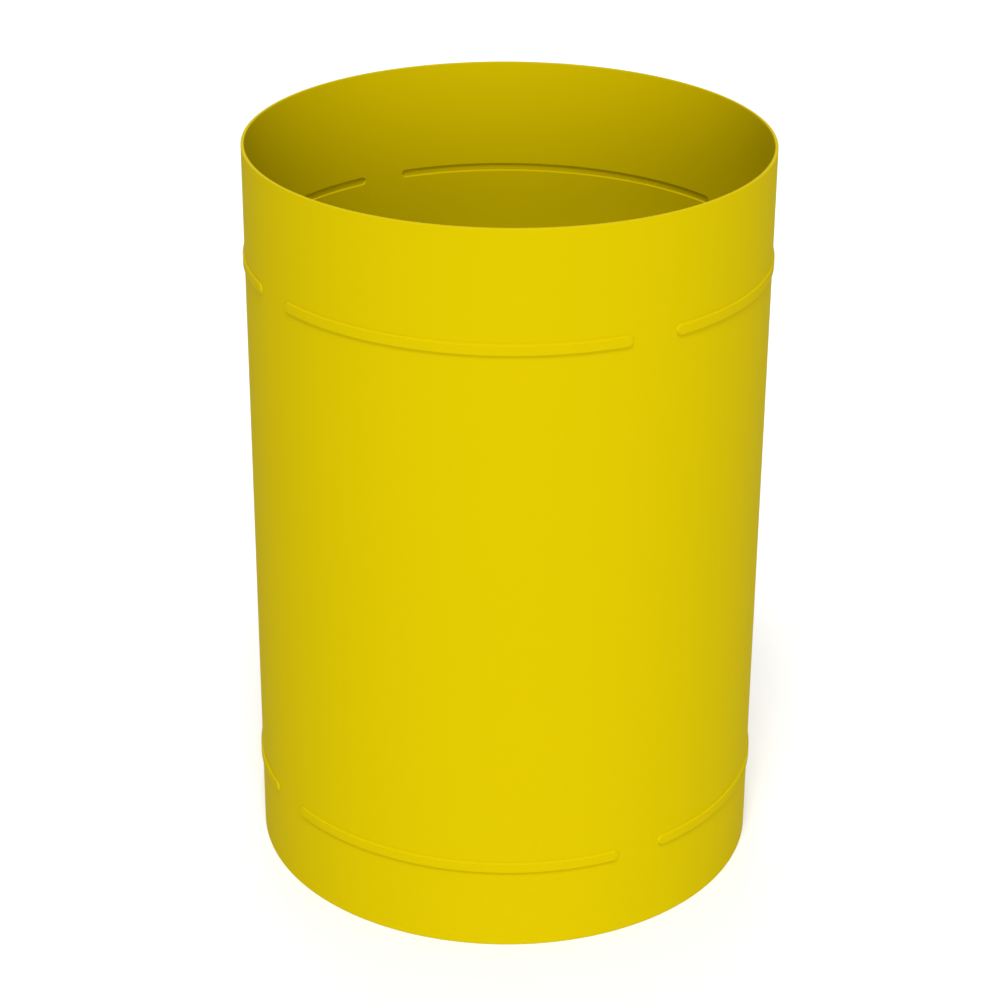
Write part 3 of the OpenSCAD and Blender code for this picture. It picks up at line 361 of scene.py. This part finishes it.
# %% Reflective sheeting
def build_reflective():
    material = finish_of("reflective_sheeting", ((0.66, 0.68, 0.71), (0.78, 0.80, 0.83)), (0.30, 0.42),
                         grain=600.0, tone_scale=40.0, bump=0.02)
    tree = material.node_tree
    shader = tree.nodes["Principled BSDF"]
    shader.inputs["Coat Weight"].default_value = 0.8
    shader.inputs["Coat Roughness"].default_value = 0.06
    cells = node(tree, "ShaderNodeTexVoronoi", feature="DISTANCE_TO_EDGE", in_Scale=260.0)
    link(tree, object_place(tree), cells.inputs["Vector"])
    wall = node(tree, "ShaderNodeMapRange", in_1=0.02, in_2=0.08)
    link(tree, cells.outputs["Distance"], wall.inputs[0])
    plain = shader.inputs["Base Color"].links[0].from_socket
    link(tree, mix_colour(tree, wall.outputs[0], (0.40, 0.42, 0.45), plain), shader.inputs["Base Color"])
    return material


reflective = build_reflective()
print("made", reflective.name)

# %% [markdown]
# ## Dressing the CAD nodes
# The record names a material slot for every CAD node. A node whose shape is right keeps its mesh and only
# takes its slot's finish. The rest get it too, but are hidden once a finer piece stands for them.

# %% Finishes by slot
FINISHES = {
    "yellow_coat": yellow_post, "galvanised": galvanised, "bright_fixing": bright_fixing,
    "spring_body": spring_enamel, "bearing_polymer": bearing_polymer, "seal_rubber": seal_rubber,
    "reflective": reflective, "stainless": stainless,
}


def dress(thing, material):
    """Gives an object one material."""
    thing.data.materials.clear()
    thing.data.materials.append(material)


slot_of = {row["node"]: row["material_slot"] for row in frame["record"]["subparts"]}
for name, part in nodes.items():
    dress(part, FINISHES[slot_of[name]])
print("dressed", len(nodes), "CAD nodes in", len(FINISHES), "finishes")

# %% [markdown]
# ## The casing, with pressed beads
# The casing is rolled from one sheet, and its beads are pressed outwards from inside, so each has soft edges
# and round ends, with a matching groove on the inside. A flat grid stands for the unrolled sheet: its x is the
# angle round the casing and its y the height. A Geometry Nodes tree rolls it up and pushes the beads out.
# The grid is finer at the beads' edges and ends, where the surface turns.

# %% Sizes of the beads
BEAD_COUNT = 4  # in each ring
BEAD_PITCH = 2 * math.pi / BEAD_COUNT
BEAD_ARC = math.radians(79.6)
BEAD_TURN = math.radians(256.3)  # where the first bead's middle lies
BEAD_W = 0.0128
BEAD_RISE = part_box("casing_shell")[1].x - CASING_R
BEAD_HEIGHTS = (0.1055, CASING_H - 0.1335)
GROOVE_W = 0.0096
EDGE = 0.0009  # how far in from a bead's outline its full height is reached
RIM_ROUND = 0.0006
print("beads:", BEAD_COUNT * len(BEAD_HEIGHTS), "of", round(BEAD_ARC * CASING_R, 4), "m, raised",
      round(BEAD_RISE, 4), "m")


# %% The unrolled sheet
COARSE_TURN, FINE_TURN = math.radians(1.5), 0.0025  # between columns, in radians
COARSE_ROWS, FINE_RISE = 25, 0.0004
END_REACH, WIDTH_REACH = 0.030, 0.0084  # how far the fine grid goes past a bead's end and its middle line
LEAST_TURN, LEAST_RISE = 0.0009, 0.00035  # lines closer than this become one


def spread(centre, reach, step):
    """Even steps on both sides of a centre."""
    count = round(reach / step)
    return [centre + k * step for k in range(-count, count + 1)]


def sheet_lines():
    """The grid's lines round the casing, in radians, and up it, in metres."""
    ends = [BEAD_TURN + k * BEAD_PITCH + side * BEAD_ARC / 2 for k in range(BEAD_COUNT) for side in (-1, 1)]
    around = [a % (2 * math.pi) for end in ends for a in spread(end, END_REACH, FINE_TURN)]
    around += list(np.arange(0, 2 * math.pi, COARSE_TURN))
    up = [z for h in BEAD_HEIGHTS for z in spread(h, WIDTH_REACH, FINE_RISE)]
    up += list(np.linspace(0.0, CASING_H, COARSE_ROWS))
    up += [z for k in (1, 2, 3) for z in (k * FINE_RISE, CASING_H - k * FINE_RISE)]
    around = sorted(set(round(a, 5) for a in around))
    return around, sorted(set(round(z, 5) for z in up))


def thin_out(values, least):
    """Drops values that lie closer than least to the one before, but keeps the first and last."""
    kept = [values[0]]
    for value in values[1:-1]:
        if value - kept[-1] >= least and values[-1] - value >= least:
            kept.append(value)
    return kept + [values[-1]]


def flat_sheet(name):
    """A flat grid: x is the angle round the casing and y the height, with the last column left open."""
    around, up = sheet_lines()
    around = thin_out(around + [2 * math.pi], LEAST_TURN)[:-1]
    up = thin_out(up, LEAST_RISE)
    columns, rows = len(around), len(up)
    points = [(a, z, 0.0) for z in up for a in around]
    faces = [(r * columns + c, r * columns + (c + 1) % columns,
              (r + 1) * columns + (c + 1) % columns, (r + 1) * columns + c)
             for r in range(rows - 1) for c in range(columns)]
    mesh = bpy.data.meshes.new(name)
    mesh.from_pydata(points, [], faces)
    made = bpy.data.objects.new(name, mesh)
    bpy.context.scene.collection.objects.link(made)
    print(name, columns, "columns,", rows, "rows")
    return made


# %% [markdown]
# ### The tree that rolls the sheet
# At each point the tree measures how far it lies from the nearest bead's middle line, which is a short arc.
# That distance, less half the bead's width, is negative inside the bead, and its round ends come by
# themselves. A smooth step turns it into a height between 0 and 1, and the point moves out by that much.
# Near the rim and the foot the radius also follows a small quarter circle, because the paint rounds the
# sheet's sharp edge. A bevel modifier could do that too, but it pushed the rim past the casing's height.


# %% The rolling tree
def geometry_tree(name, inputs):
    """A Geometry Nodes tree with a geometry input and output, float inputs and a finish."""
    tree = bpy.data.node_groups.new(name, "GeometryNodeTree")
    tree.interface.new_socket("Geometry", in_out="INPUT", socket_type="NodeSocketGeometry")
    float_inputs(tree, inputs)
    tree.interface.new_socket("Finish", in_out="INPUT", socket_type="NodeSocketMaterial")
    tree.interface.new_socket("Geometry", in_out="OUTPUT", socket_type="NodeSocketGeometry")
    return tree, tree.nodes.new("NodeGroupInput"), tree.nodes.new("NodeGroupOutput")


def end_tree(tree, made, given, result):
    """Ends a tree: copies become real faces, and the faces get the tree's finish."""
    real = node(tree, "GeometryNodeRealizeInstances")
    link(tree, made, real.inputs[0])
    finish = node(tree, "GeometryNodeSetMaterial")
    link(tree, real.outputs[0], finish.inputs["Geometry"])
    link(tree, given.outputs["Finish"], finish.inputs["Material"])
    link(tree, finish.outputs[0], result.inputs[0])


def set_inputs(modifier, **values):
    """Sets a modifier's inputs by name, through each socket's identifier. Keys have _ for a space."""
    wanted = {key.replace("_", " ").lower(): value for key, value in values.items()}
    for item in modifier.node_group.interface.items_tree:
        if item.in_out == "INPUT" and item.name.lower() in wanted:
            modifier[item.identifier] = wanted[item.name.lower()]


def bead_distance(tree, angle, height, given):
    """Distance from a point on the sheet to the middle line of the nearest bead, over all the rings."""
    turned = math_node(tree, "SUBTRACT", angle, BEAD_TURN - BEAD_PITCH / 2 - 4 * math.pi)
    local = math_node(tree, "SUBTRACT", math_node(tree, "MODULO", turned, BEAD_PITCH), BEAD_PITCH / 2)
    past = math_node(tree, "MULTIPLY", math_node(tree, "ABSOLUTE", local), given.outputs["Radius"])
    straight = math_node(tree, "SUBTRACT", given.outputs["Half length"], given.outputs["Half width"])
    over = math_node(tree, "MAXIMUM", math_node(tree, "SUBTRACT", past, straight), 0.0)
    rises = [math_node(tree, "ABSOLUTE", math_node(tree, "SUBTRACT", height, h)) for h in BEAD_HEIGHTS]
    rise = math_node(tree, "MINIMUM", rises[0], rises[1])
    square = math_node(tree, "ADD", math_node(tree, "POWER", over, 2.0), math_node(tree, "POWER", rise, 2.0))
    return math_node(tree, "SQRT", square)


def build_roll():
    """Rolls the flat sheet to a cylinder of a radius, with the beads pushed out."""
    tree, given, result = geometry_tree("roll_sheet", {
        "Radius": CASING_R, "Half width": BEAD_W / 2, "Half length": BEAD_ARC * CASING_R / 2,
        "Rise": BEAD_RISE, "Edge": EDGE, "Rim round": RIM_ROUND, "Rim side": 1.0, "Height": CASING_H,
    })
    flat = node(tree, "ShaderNodeSeparateXYZ")
    link(tree, node(tree, "GeometryNodeInputPosition").outputs[0], flat.inputs[0])
    angle, height = flat.outputs["X"], flat.outputs["Y"]
    far = bead_distance(tree, angle, height, given)
    inside = math_node(tree, "SUBTRACT", far, given.outputs["Half width"])
    step = node(tree, "ShaderNodeMapRange", interpolation_type="SMOOTHSTEP", in_3=1.0, in_4=0.0)
    link(tree, inside, step.inputs[0])
    link(tree, math_node(tree, "MULTIPLY", given.outputs["Edge"], -1.0), step.inputs[1])
    step.inputs[2].default_value = 0.0
    push = math_node(tree, "MULTIPLY", step.outputs[0], given.outputs["Rise"])
    end = math_node(tree, "MINIMUM", height, math_node(tree, "SUBTRACT", given.outputs["Height"], height))
    short = math_node(tree, "MAXIMUM", math_node(tree, "SUBTRACT", given.outputs["Rim round"], end), 0.0)
    room = math_node(tree, "SUBTRACT", math_node(tree, "POWER", given.outputs["Rim round"], 2.0),
                     math_node(tree, "POWER", short, 2.0))
    inset = math_node(tree, "SUBTRACT", given.outputs["Rim round"], math_node(tree, "SQRT", room))
    push = math_node(tree, "SUBTRACT", push, math_node(tree, "MULTIPLY", inset, given.outputs["Rim side"]))
    radius = math_node(tree, "ADD", given.outputs["Radius"], push)
    place = node(tree, "ShaderNodeCombineXYZ")
    link(tree, math_node(tree, "MULTIPLY", radius, math_node(tree, "COSINE", angle)), place.inputs[0])
    link(tree, math_node(tree, "MULTIPLY", radius, math_node(tree, "SINE", angle)), place.inputs[1])
    link(tree, height, place.inputs[2])
    move = node(tree, "GeometryNodeSetPosition")
    link(tree, given.outputs["Geometry"], move.inputs["Geometry"])
    link(tree, place.outputs[0], move.inputs["Position"])
    end_tree(tree, move.outputs[0], given, result)
    return tree


def evaluated_mesh(thing):
    """The object's mesh with its modifiers applied, as a new mesh."""
    ready = thing.evaluated_get(bpy.context.evaluated_depsgraph_get())
    return bpy.data.meshes.new_from_object(ready)


def rolled(name, radius, half_width, half_length, rim_side):
    """One wall of the casing, as a plain mesh. Its rim rounds inwards (1) or outwards (-1)."""
    sheet = flat_sheet(name)
    modifier = sheet.modifiers.new("roll", "NODES")
    modifier.node_group = ROLL
    set_inputs(modifier, radius=radius, half_width=half_width, half_length=half_length, rim_side=rim_side,
               finish=yellow_coat)
    mesh = evaluated_mesh(sheet)
    bpy.data.objects.remove(sheet)
    return mesh


ROLL = build_roll()
print("built", ROLL.name)

# %% [markdown]
# ### Closing the shell
# The outer and the inner wall are rolled from the same sheet, so they have matching edges. Two rows of quads
# join them at the rim and at the foot.


# %% Casing piece
def joined_walls(outer, inner, name):
    """Joins two rolled walls of the same grid into one closed shell."""
    shell = bmesh.new()
    shell.from_mesh(outer)
    count = len(shell.verts)
    shell.from_mesh(inner)
    shell.verts.ensure_lookup_table()
    shell.faces.ensure_lookup_table()
    bmesh.ops.reverse_faces(shell, faces=[f for f in shell.faces if f.verts[0].index >= count])
    for face in shell.faces:
        face.smooth = True
    rims = [e for e in shell.edges if e.is_boundary and e.verts[0].index < count]
    for edge in rims:
        a, b = edge.verts
        face = shell.faces.new((b, a, shell.verts[a.index + count], shell.verts[b.index + count]))
        outward = 1.0 if (a.co.z > CASING_H / 2) else -1.0
        face.normal_update()
        if face.normal.z * outward < 0:
            face.normal_flip()
    mesh = bpy.data.meshes.new(name)
    shell.to_mesh(mesh)
    shell.free()
    return mesh


def place_piece(mesh, name, body, material, slot, *stands_for):
    """Links a mesh as a finished piece that rides on a body and stands for CAD nodes."""
    made = bpy.data.objects.new(name, mesh)
    bpy.context.scene.collection.objects.link(made)
    dress(made, material)
    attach(made, body)
    if stands_for:
        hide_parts(*stands_for)
    return made


def build_casing():
    half_length = BEAD_ARC * CASING_R / 2
    inner_half_length = half_length - (BEAD_W - GROOVE_W) / 2
    outer = rolled("outer_wall", CASING_R, BEAD_W / 2, half_length, 1.0)
    inner = rolled("inner_wall", CASING_R - CASING_WALL, GROOVE_W / 2, inner_half_length, -1.0)
    mesh = joined_walls(outer, inner, "pressed_casing")
    return place_piece(mesh, "pressed_casing", "ground_casing", yellow_coat, "yellow_coat", "casing_shell")


casing = build_casing()
print("casing:", len(casing.data.polygons), "faces")

# %% [markdown]
# ## Bolts and screws
# The CAD model's fixings have plain hexagons and no chamfers. A real bolt head is turned before it is cut to a
# hexagon, so a cone cuts its corners in six arcs, and its washer has a soft rim. Each fixing is a stack of
# rings round an axis: a ring has a height and a radius at every angle, so a round ring and a hexagon can join.


# %% Rings round an axis
SIDES = 48
CHAMFER = math.radians(30)


def hexagon(corner):
    """A radius at every angle, for a hexagon with corners that far from the axis."""
    sixth = math.pi / 3
    flat = corner * math.cos(sixth / 2)
    return lambda a: flat / math.cos(a % sixth - sixth / 2)


def circle(radius):
    return lambda a: radius


def lathe(rings, name):
    """A closed mesh through rings of (radius function, height or height function)."""
    angles = [2 * math.pi * k / SIDES for k in range(SIDES)]
    points, faces = [], []
    for radius, height in rings:
        for a in angles:
            z = height(a) if callable(height) else height
            points.append((radius(a) * math.cos(a), radius(a) * math.sin(a), z))
    for r in range(len(rings) - 1):
        for k in range(SIDES):
            a, b = r * SIDES + k, r * SIDES + (k + 1) % SIDES
            faces.append((a, b, b + SIDES, a + SIDES))
    faces.append(tuple(range(SIDES))[::-1])
    faces.append(tuple(range((len(rings) - 1) * SIDES, len(rings) * SIDES)))
    mesh = bpy.data.meshes.new(name)
    mesh.from_pydata(points, [], faces)
    return mesh


def hex_rings(corner, low, high, chamfer_low=False):
    """The rings of a hexagon whose corners a cone has cut at the top, and for a nut at the bottom too."""
    shape = hexagon(corner)
    inner = corner * math.cos(math.pi / 6) * 0.96
    slope = math.tan(CHAMFER)
    top = [(shape, lambda a: high - (shape(a) - inner) * slope), (circle(inner), high)]
    if chamfer_low:
        return [(circle(inner), low), (shape, lambda a: low + (shape(a) - inner) * slope)] + top
    return [(shape, low)] + top


# %% [markdown]
# ### Two kinds of fixing
# Every measure of a fixing is a share of its diameter, as in the standards, so one function makes all sizes.
# The thread is a run of rings, wide and narrow in turn, which looks like a thread and stays a simple lathe
# shape. A true helix would cost far more faces for a mark that is under a millimetre high.


# %% Kinds of fixing
def thread_rings(d, low, high):
    """A threaded shank from low to high, with rings close enough to show as a thread."""
    pitch, root_r = d * 0.15, d * 0.47
    count = int((high - low - d * 0.15) / pitch)
    rings = [(circle(d * 0.40), low), (circle(root_r), low + d * 0.08)]
    for k in range(count):
        z = low + d * 0.1 + k * pitch
        rings += [(circle(root_r), z + pitch * 0.3), (circle(d * 0.5), z + pitch * 0.8)]
    return rings + [(circle(d * 0.49), high)]


def bolt_mesh(d, length, nut):
    """A hex bolt with its seat at z = 0. nut is the nut's (low, high) below the seat, or None."""
    washer_t, head_t, corner = d * 0.2, d * 0.65, d * 0.95
    soft = washer_t * 0.25
    thread_top = min(-d * 0.5, nut[1]) if nut else -length * 0.6
    shank = thread_rings(d, -length, thread_top) + [(circle(d * 0.5), thread_top), (circle(d * 0.5), 0.0)]
    washer = [(circle(d * 0.98), 0.0), (circle(d), soft),
              (circle(d), washer_t - soft), (circle(d * 0.98), washer_t)]
    shapes = [lathe(shank, "shank"), lathe(washer, "washer"),
              lathe(hex_rings(corner, washer_t, washer_t + head_t), "bolt_head")]
    if nut:
        shapes.append(lathe(hex_rings(corner, nut[0], nut[1], chamfer_low=True), "nut"))
    return merged(shapes, "hex_bolt")


def cap_mesh(d, length, nut):
    """A cap screw with its seat at z = 0, a chamfered head and a hexagon socket. It never has a nut."""
    head_r, head_t, soft = d * 0.8, d * 0.8, d * 0.08
    socket = hexagon(d * 0.42)
    rings = thread_rings(d, -length, -length * 0.4) + [
        (circle(d * 0.5), -length * 0.4), (circle(d * 0.5), 0.0), (circle(head_r), 0.0),
        (circle(head_r), head_t - soft), (circle(head_r - soft), head_t), (circle(d * 0.46), head_t),
        (socket, head_t - d * 0.04), (socket, head_t * 0.38), (circle(d * 0.1), head_t * 0.3),
    ]
    return merged([lathe(rings, "cap_screw")], "cap_screw")


def merged(meshes, name):
    """Joins meshes into one object that is not in the scene itself."""
    shell = bmesh.new()
    for mesh in meshes:
        shell.from_mesh(mesh)
    for face in shell.faces:
        face.smooth = len(face.verts) == 4
    for edge in shell.edges:
        edge.smooth = len(edge.link_faces) == 2 and edge.calc_face_angle(0) < math.radians(25)
    mesh = bpy.data.meshes.new(name)
    shell.to_mesh(mesh)
    shell.free()
    return bpy.data.objects.new(name, mesh)


# %% [markdown]
# ### Where the fixings go
# Every place comes from the CAD model: each loose solid of a fixings node is one fixing. Its box gives the
# axis, the head's top and the shank's end, and what is wider than the shank below the seat is its nut. The
# turn of each head is random with a fixed seed, because nobody lines up bolt heads.


# %% Places of the fixings
def islands(part):
    """The loose solids of a CAD node, each as an array of points."""
    shell = bmesh.new()
    shell.from_mesh(part.data)
    bmesh.ops.remove_doubles(shell, verts=shell.verts, dist=0.00001)
    left, found = set(shell.verts), []
    while left:
        stack, group = [left.pop()], []
        while stack:
            vert = stack.pop()
            group.append(part.matrix_world @ vert.co)
            for edge in vert.link_edges:
                other = edge.other_vert(vert)
                if other in left:
                    left.discard(other)
                    stack.append(other)
        found.append(np.array(group))
    shell.free()
    return sorted(found, key=lambda g: tuple(np.round(g.mean(axis=0), 4)))


def fixing_sizes(points, head_wide, head_high):
    """Reads one fixing, whose head is so many diameters wide and high: its seat, diameter, length, nut."""
    low, high = points.min(axis=0), points.max(axis=0)
    centre = (low + high) / 2
    d = (high[1] - low[1]) / head_wide
    seat = high[2] - head_high * d
    far = np.hypot(points[:, 0] - centre[0], points[:, 1] - centre[1])
    below = points[(far > 0.7 * d) & (points[:, 2] < seat - 0.3 * d)][:, 2]
    nut = (below.min() - seat, below.max() - seat) if len(below) else None
    return (centre[0], centre[1], seat), round(d, 5), seat - low[2], nut


# %% [markdown]
# ### Placing them
# Every fixing of one node has the same shape, so one tree puts a copy of it at each place, which is less work
# than a copy by hand and easier to change. The copies become real faces at the tree's end.


# %% The tree that places them
def build_placer():
    """Puts an object at each point, turned by the points' attribute called turn, and gives it a material."""
    tree, given, result = geometry_tree("place_fixings", {"Size": 1.0})
    tree.interface.new_socket("Fixing", in_out="INPUT", socket_type="NodeSocketObject")
    info = node(tree, "GeometryNodeObjectInfo")
    link(tree, given.outputs["Fixing"], info.inputs["Object"])
    turn = node(tree, "GeometryNodeInputNamedAttribute", data_type="FLOAT")
    turn.inputs["Name"].default_value = "turn"
    angles = node(tree, "ShaderNodeCombineXYZ")
    link(tree, turn.outputs["Attribute"], angles.inputs["Z"])
    to_rotation = node(tree, "FunctionNodeEulerToRotation")
    link(tree, angles.outputs[0], to_rotation.inputs[0])
    place = node(tree, "GeometryNodeInstanceOnPoints")
    link(tree, given.outputs["Geometry"], place.inputs["Points"])
    link(tree, info.outputs["Geometry"], place.inputs["Instance"])
    link(tree, to_rotation.outputs[0], place.inputs["Rotation"])
    link(tree, given.outputs["Size"], place.inputs["Scale"])
    end_tree(tree, place.outputs[0], given, result)
    return tree


PLACER = build_placer()


def place_fixings(name, body, make, head_wide, head_high):
    """Replaces one CAD node of fixings with detailed ones in the same places."""
    read = [fixing_sizes(group, head_wide, head_high) for group in islands(nodes[name])]
    places = [row[0] for row in read]
    model = make(*read[0][1:])
    points = bpy.data.meshes.new(name + "_points")
    points.from_pydata(places, [], [])
    turns = np.random.default_rng(len(name)).uniform(0, math.pi, len(places))
    points.attributes.new("turn", "FLOAT", "POINT").data.foreach_set("value", turns)
    holder = bpy.data.objects.new(name + "_holder", points)
    bpy.context.scene.collection.objects.link(holder)
    modifier = holder.modifiers.new("place", "NODES")
    modifier.node_group = PLACER
    set_inputs(modifier, fixing=model, finish=bright_fixing, size=1.0)
    mesh = evaluated_mesh(holder)
    bpy.data.objects.remove(holder)
    bpy.data.objects.remove(model)
    piece = place_piece(mesh, name + "_detailed", body, bright_fixing, "bright_fixing", name)
    print(piece.name, len(places), "places,", len(mesh.polygons), "faces, diameter", read[0][1])


for name in ("base_ring_bolts", "pillar_foot_bolts", "pillar_head_bolts", "lug_bolts", "catch_bolts"):
    place_fixings(name, "ground_casing", bolt_mesh, head_wide=2.0, head_high=0.85)
for name, body in (("clamp_screws", "ground_casing"), ("stage_ring_screws", "lower_post"),
                   ("keeper_screws", "upper_post"), ("cover_screw", "upper_post")):
    place_fixings(name, body, cap_mesh, head_wide=1.6, head_high=0.8)

# %% [markdown]
# ## Latch springs
# Each latch has a small coil spring on its pin. The CAD model keeps its coils as three plain rings. A real one
# is one wire wound in a helix, so a tree winds a spiral curve along the pin and sweeps a round wire along it.


# %% The winding tree
def build_winding():
    """Sweeps a round wire along a spiral that runs up the Z axis from the origin."""
    tree, given, result = geometry_tree("wind_spring", {
        "Radius": 0.004, "Wire": 0.0005, "Length": 0.003, "Turns": 3.0,
    })
    spiral = node(tree, "GeometryNodeCurveSpiral", in_Resolution=40)
    for name, source in (("Rotations", "Turns"), ("Start Radius", "Radius"), ("End Radius", "Radius"),
                         ("Height", "Length")):
        link(tree, given.outputs[source], spiral.inputs[name])
    wire = node(tree, "GeometryNodeCurvePrimitiveCircle", in_Resolution=12)
    link(tree, given.outputs["Wire"], wire.inputs["Radius"])
    sweep = node(tree, "GeometryNodeCurveToMesh")
    sweep.inputs["Fill Caps"].default_value = True
    link(tree, spiral.outputs[0], sweep.inputs["Curve"])
    link(tree, wire.outputs[0], sweep.inputs["Profile Curve"])
    end_tree(tree, sweep.outputs[0], given, result)
    return tree


def wind_springs():
    """Winds both springs from the boxes of the CAD rings, and joins them in one mesh."""
    tree = build_winding()
    rings = islands(nodes["latch_springs"])
    wire = (rings[0].max(axis=0)[1] - rings[0].min(axis=0)[1]) / 2
    joined = bmesh.new()
    for side in (-1, 1):
        mine = np.concatenate([ring for ring in rings if ring[:, 0].mean() * side > 0])
        low, high = mine.min(axis=0), mine.max(axis=0)
        start = bpy.data.objects.new("spring", bpy.data.meshes.new("spring"))
        bpy.context.scene.collection.objects.link(start)
        modifier = start.modifiers.new("wind", "NODES")
        modifier.node_group = tree
        length = high[1] - low[1] - 2 * wire
        set_inputs(modifier, radius=(high[2] - low[2]) / 2 - wire, wire=wire * 0.9, length=length, turns=3.0,
                   finish=bright_fixing)
        mesh = evaluated_mesh(start)
        bpy.data.objects.remove(start)
        centre = (low + high) / 2
        to_pin = Matrix.Translation((centre[0], low[1] + wire, centre[2]))
        mesh.transform(to_pin @ Matrix.Rotation(-math.pi / 2, 4, "X"))
        joined.from_mesh(mesh)
    for face in joined.faces:
        face.smooth = len(face.verts) == 4
    mesh = bpy.data.meshes.new("wound_springs")
    joined.to_mesh(mesh)
    joined.free()
    place_piece(mesh, "wound_springs", "lower_post", bright_fixing, "bright_fixing", "latch_springs")
    print("springs:", len(mesh.polygons), "faces")


wind_springs()

# %% [markdown]
# ## Floor and light
# A pale floor that runs off into white, an even white sky, and three soft suns. The top one makes each bead's
# upper edge bright and its lower edge dark. The front one is low, lights the wall and falls off towards its
# sides, and a weaker one does the same behind.


# %% Floor and light
def build_floor():
    mesh = bpy.data.meshes.new("floor")
    half = 250 * CASING_R
    corners = [(-half, -half, 0), (half, -half, 0), (half, half, 0), (-half, half, 0)]
    mesh.from_pydata(corners, [], [(0, 1, 2, 3)])
    floor = bpy.data.objects.new("floor", mesh)
    bpy.context.scene.collection.objects.link(floor)
    dress(floor, finish_of("pale_floor", ((0.735,) * 3, (0.755,) * 3), (0.9, 1.0),
                           tone_scale=0.3, grain=40.0, bump=0.01))


def add_sun(name, toward, spread, strength):
    """A sun lamp that shines along a direction, softened by its spread in degrees."""
    data = bpy.data.lights.new(name, "SUN")
    data.angle = math.radians(spread)
    data.energy = strength
    lamp = bpy.data.objects.new(name, data)
    bpy.context.scene.collection.objects.link(lamp)
    lamp.rotation_euler = Vector(toward).to_track_quat("-Z", "Y").to_euler()


def build_light():
    world = bpy.data.worlds.new("studio")
    bpy.context.scene.world = world
    world.use_nodes = True
    background = world.node_tree.nodes["Background"]
    background.inputs["Color"].default_value = (1.0, 1.0, 1.0, 1.0)
    background.inputs["Strength"].default_value = 0.62
    add_sun("top_light", toward=(0.03, 0.45, -0.89), spread=20, strength=2.7)
    add_sun("front_light", toward=(-0.12, 0.98, -0.13), spread=25, strength=1.9)
    add_sun("back_light", toward=(0.1, -0.97, -0.2), spread=40, strength=1.3)
    bpy.context.scene.view_settings.view_transform = "Standard"


build_floor()
build_light()
print("floor and light are in place")
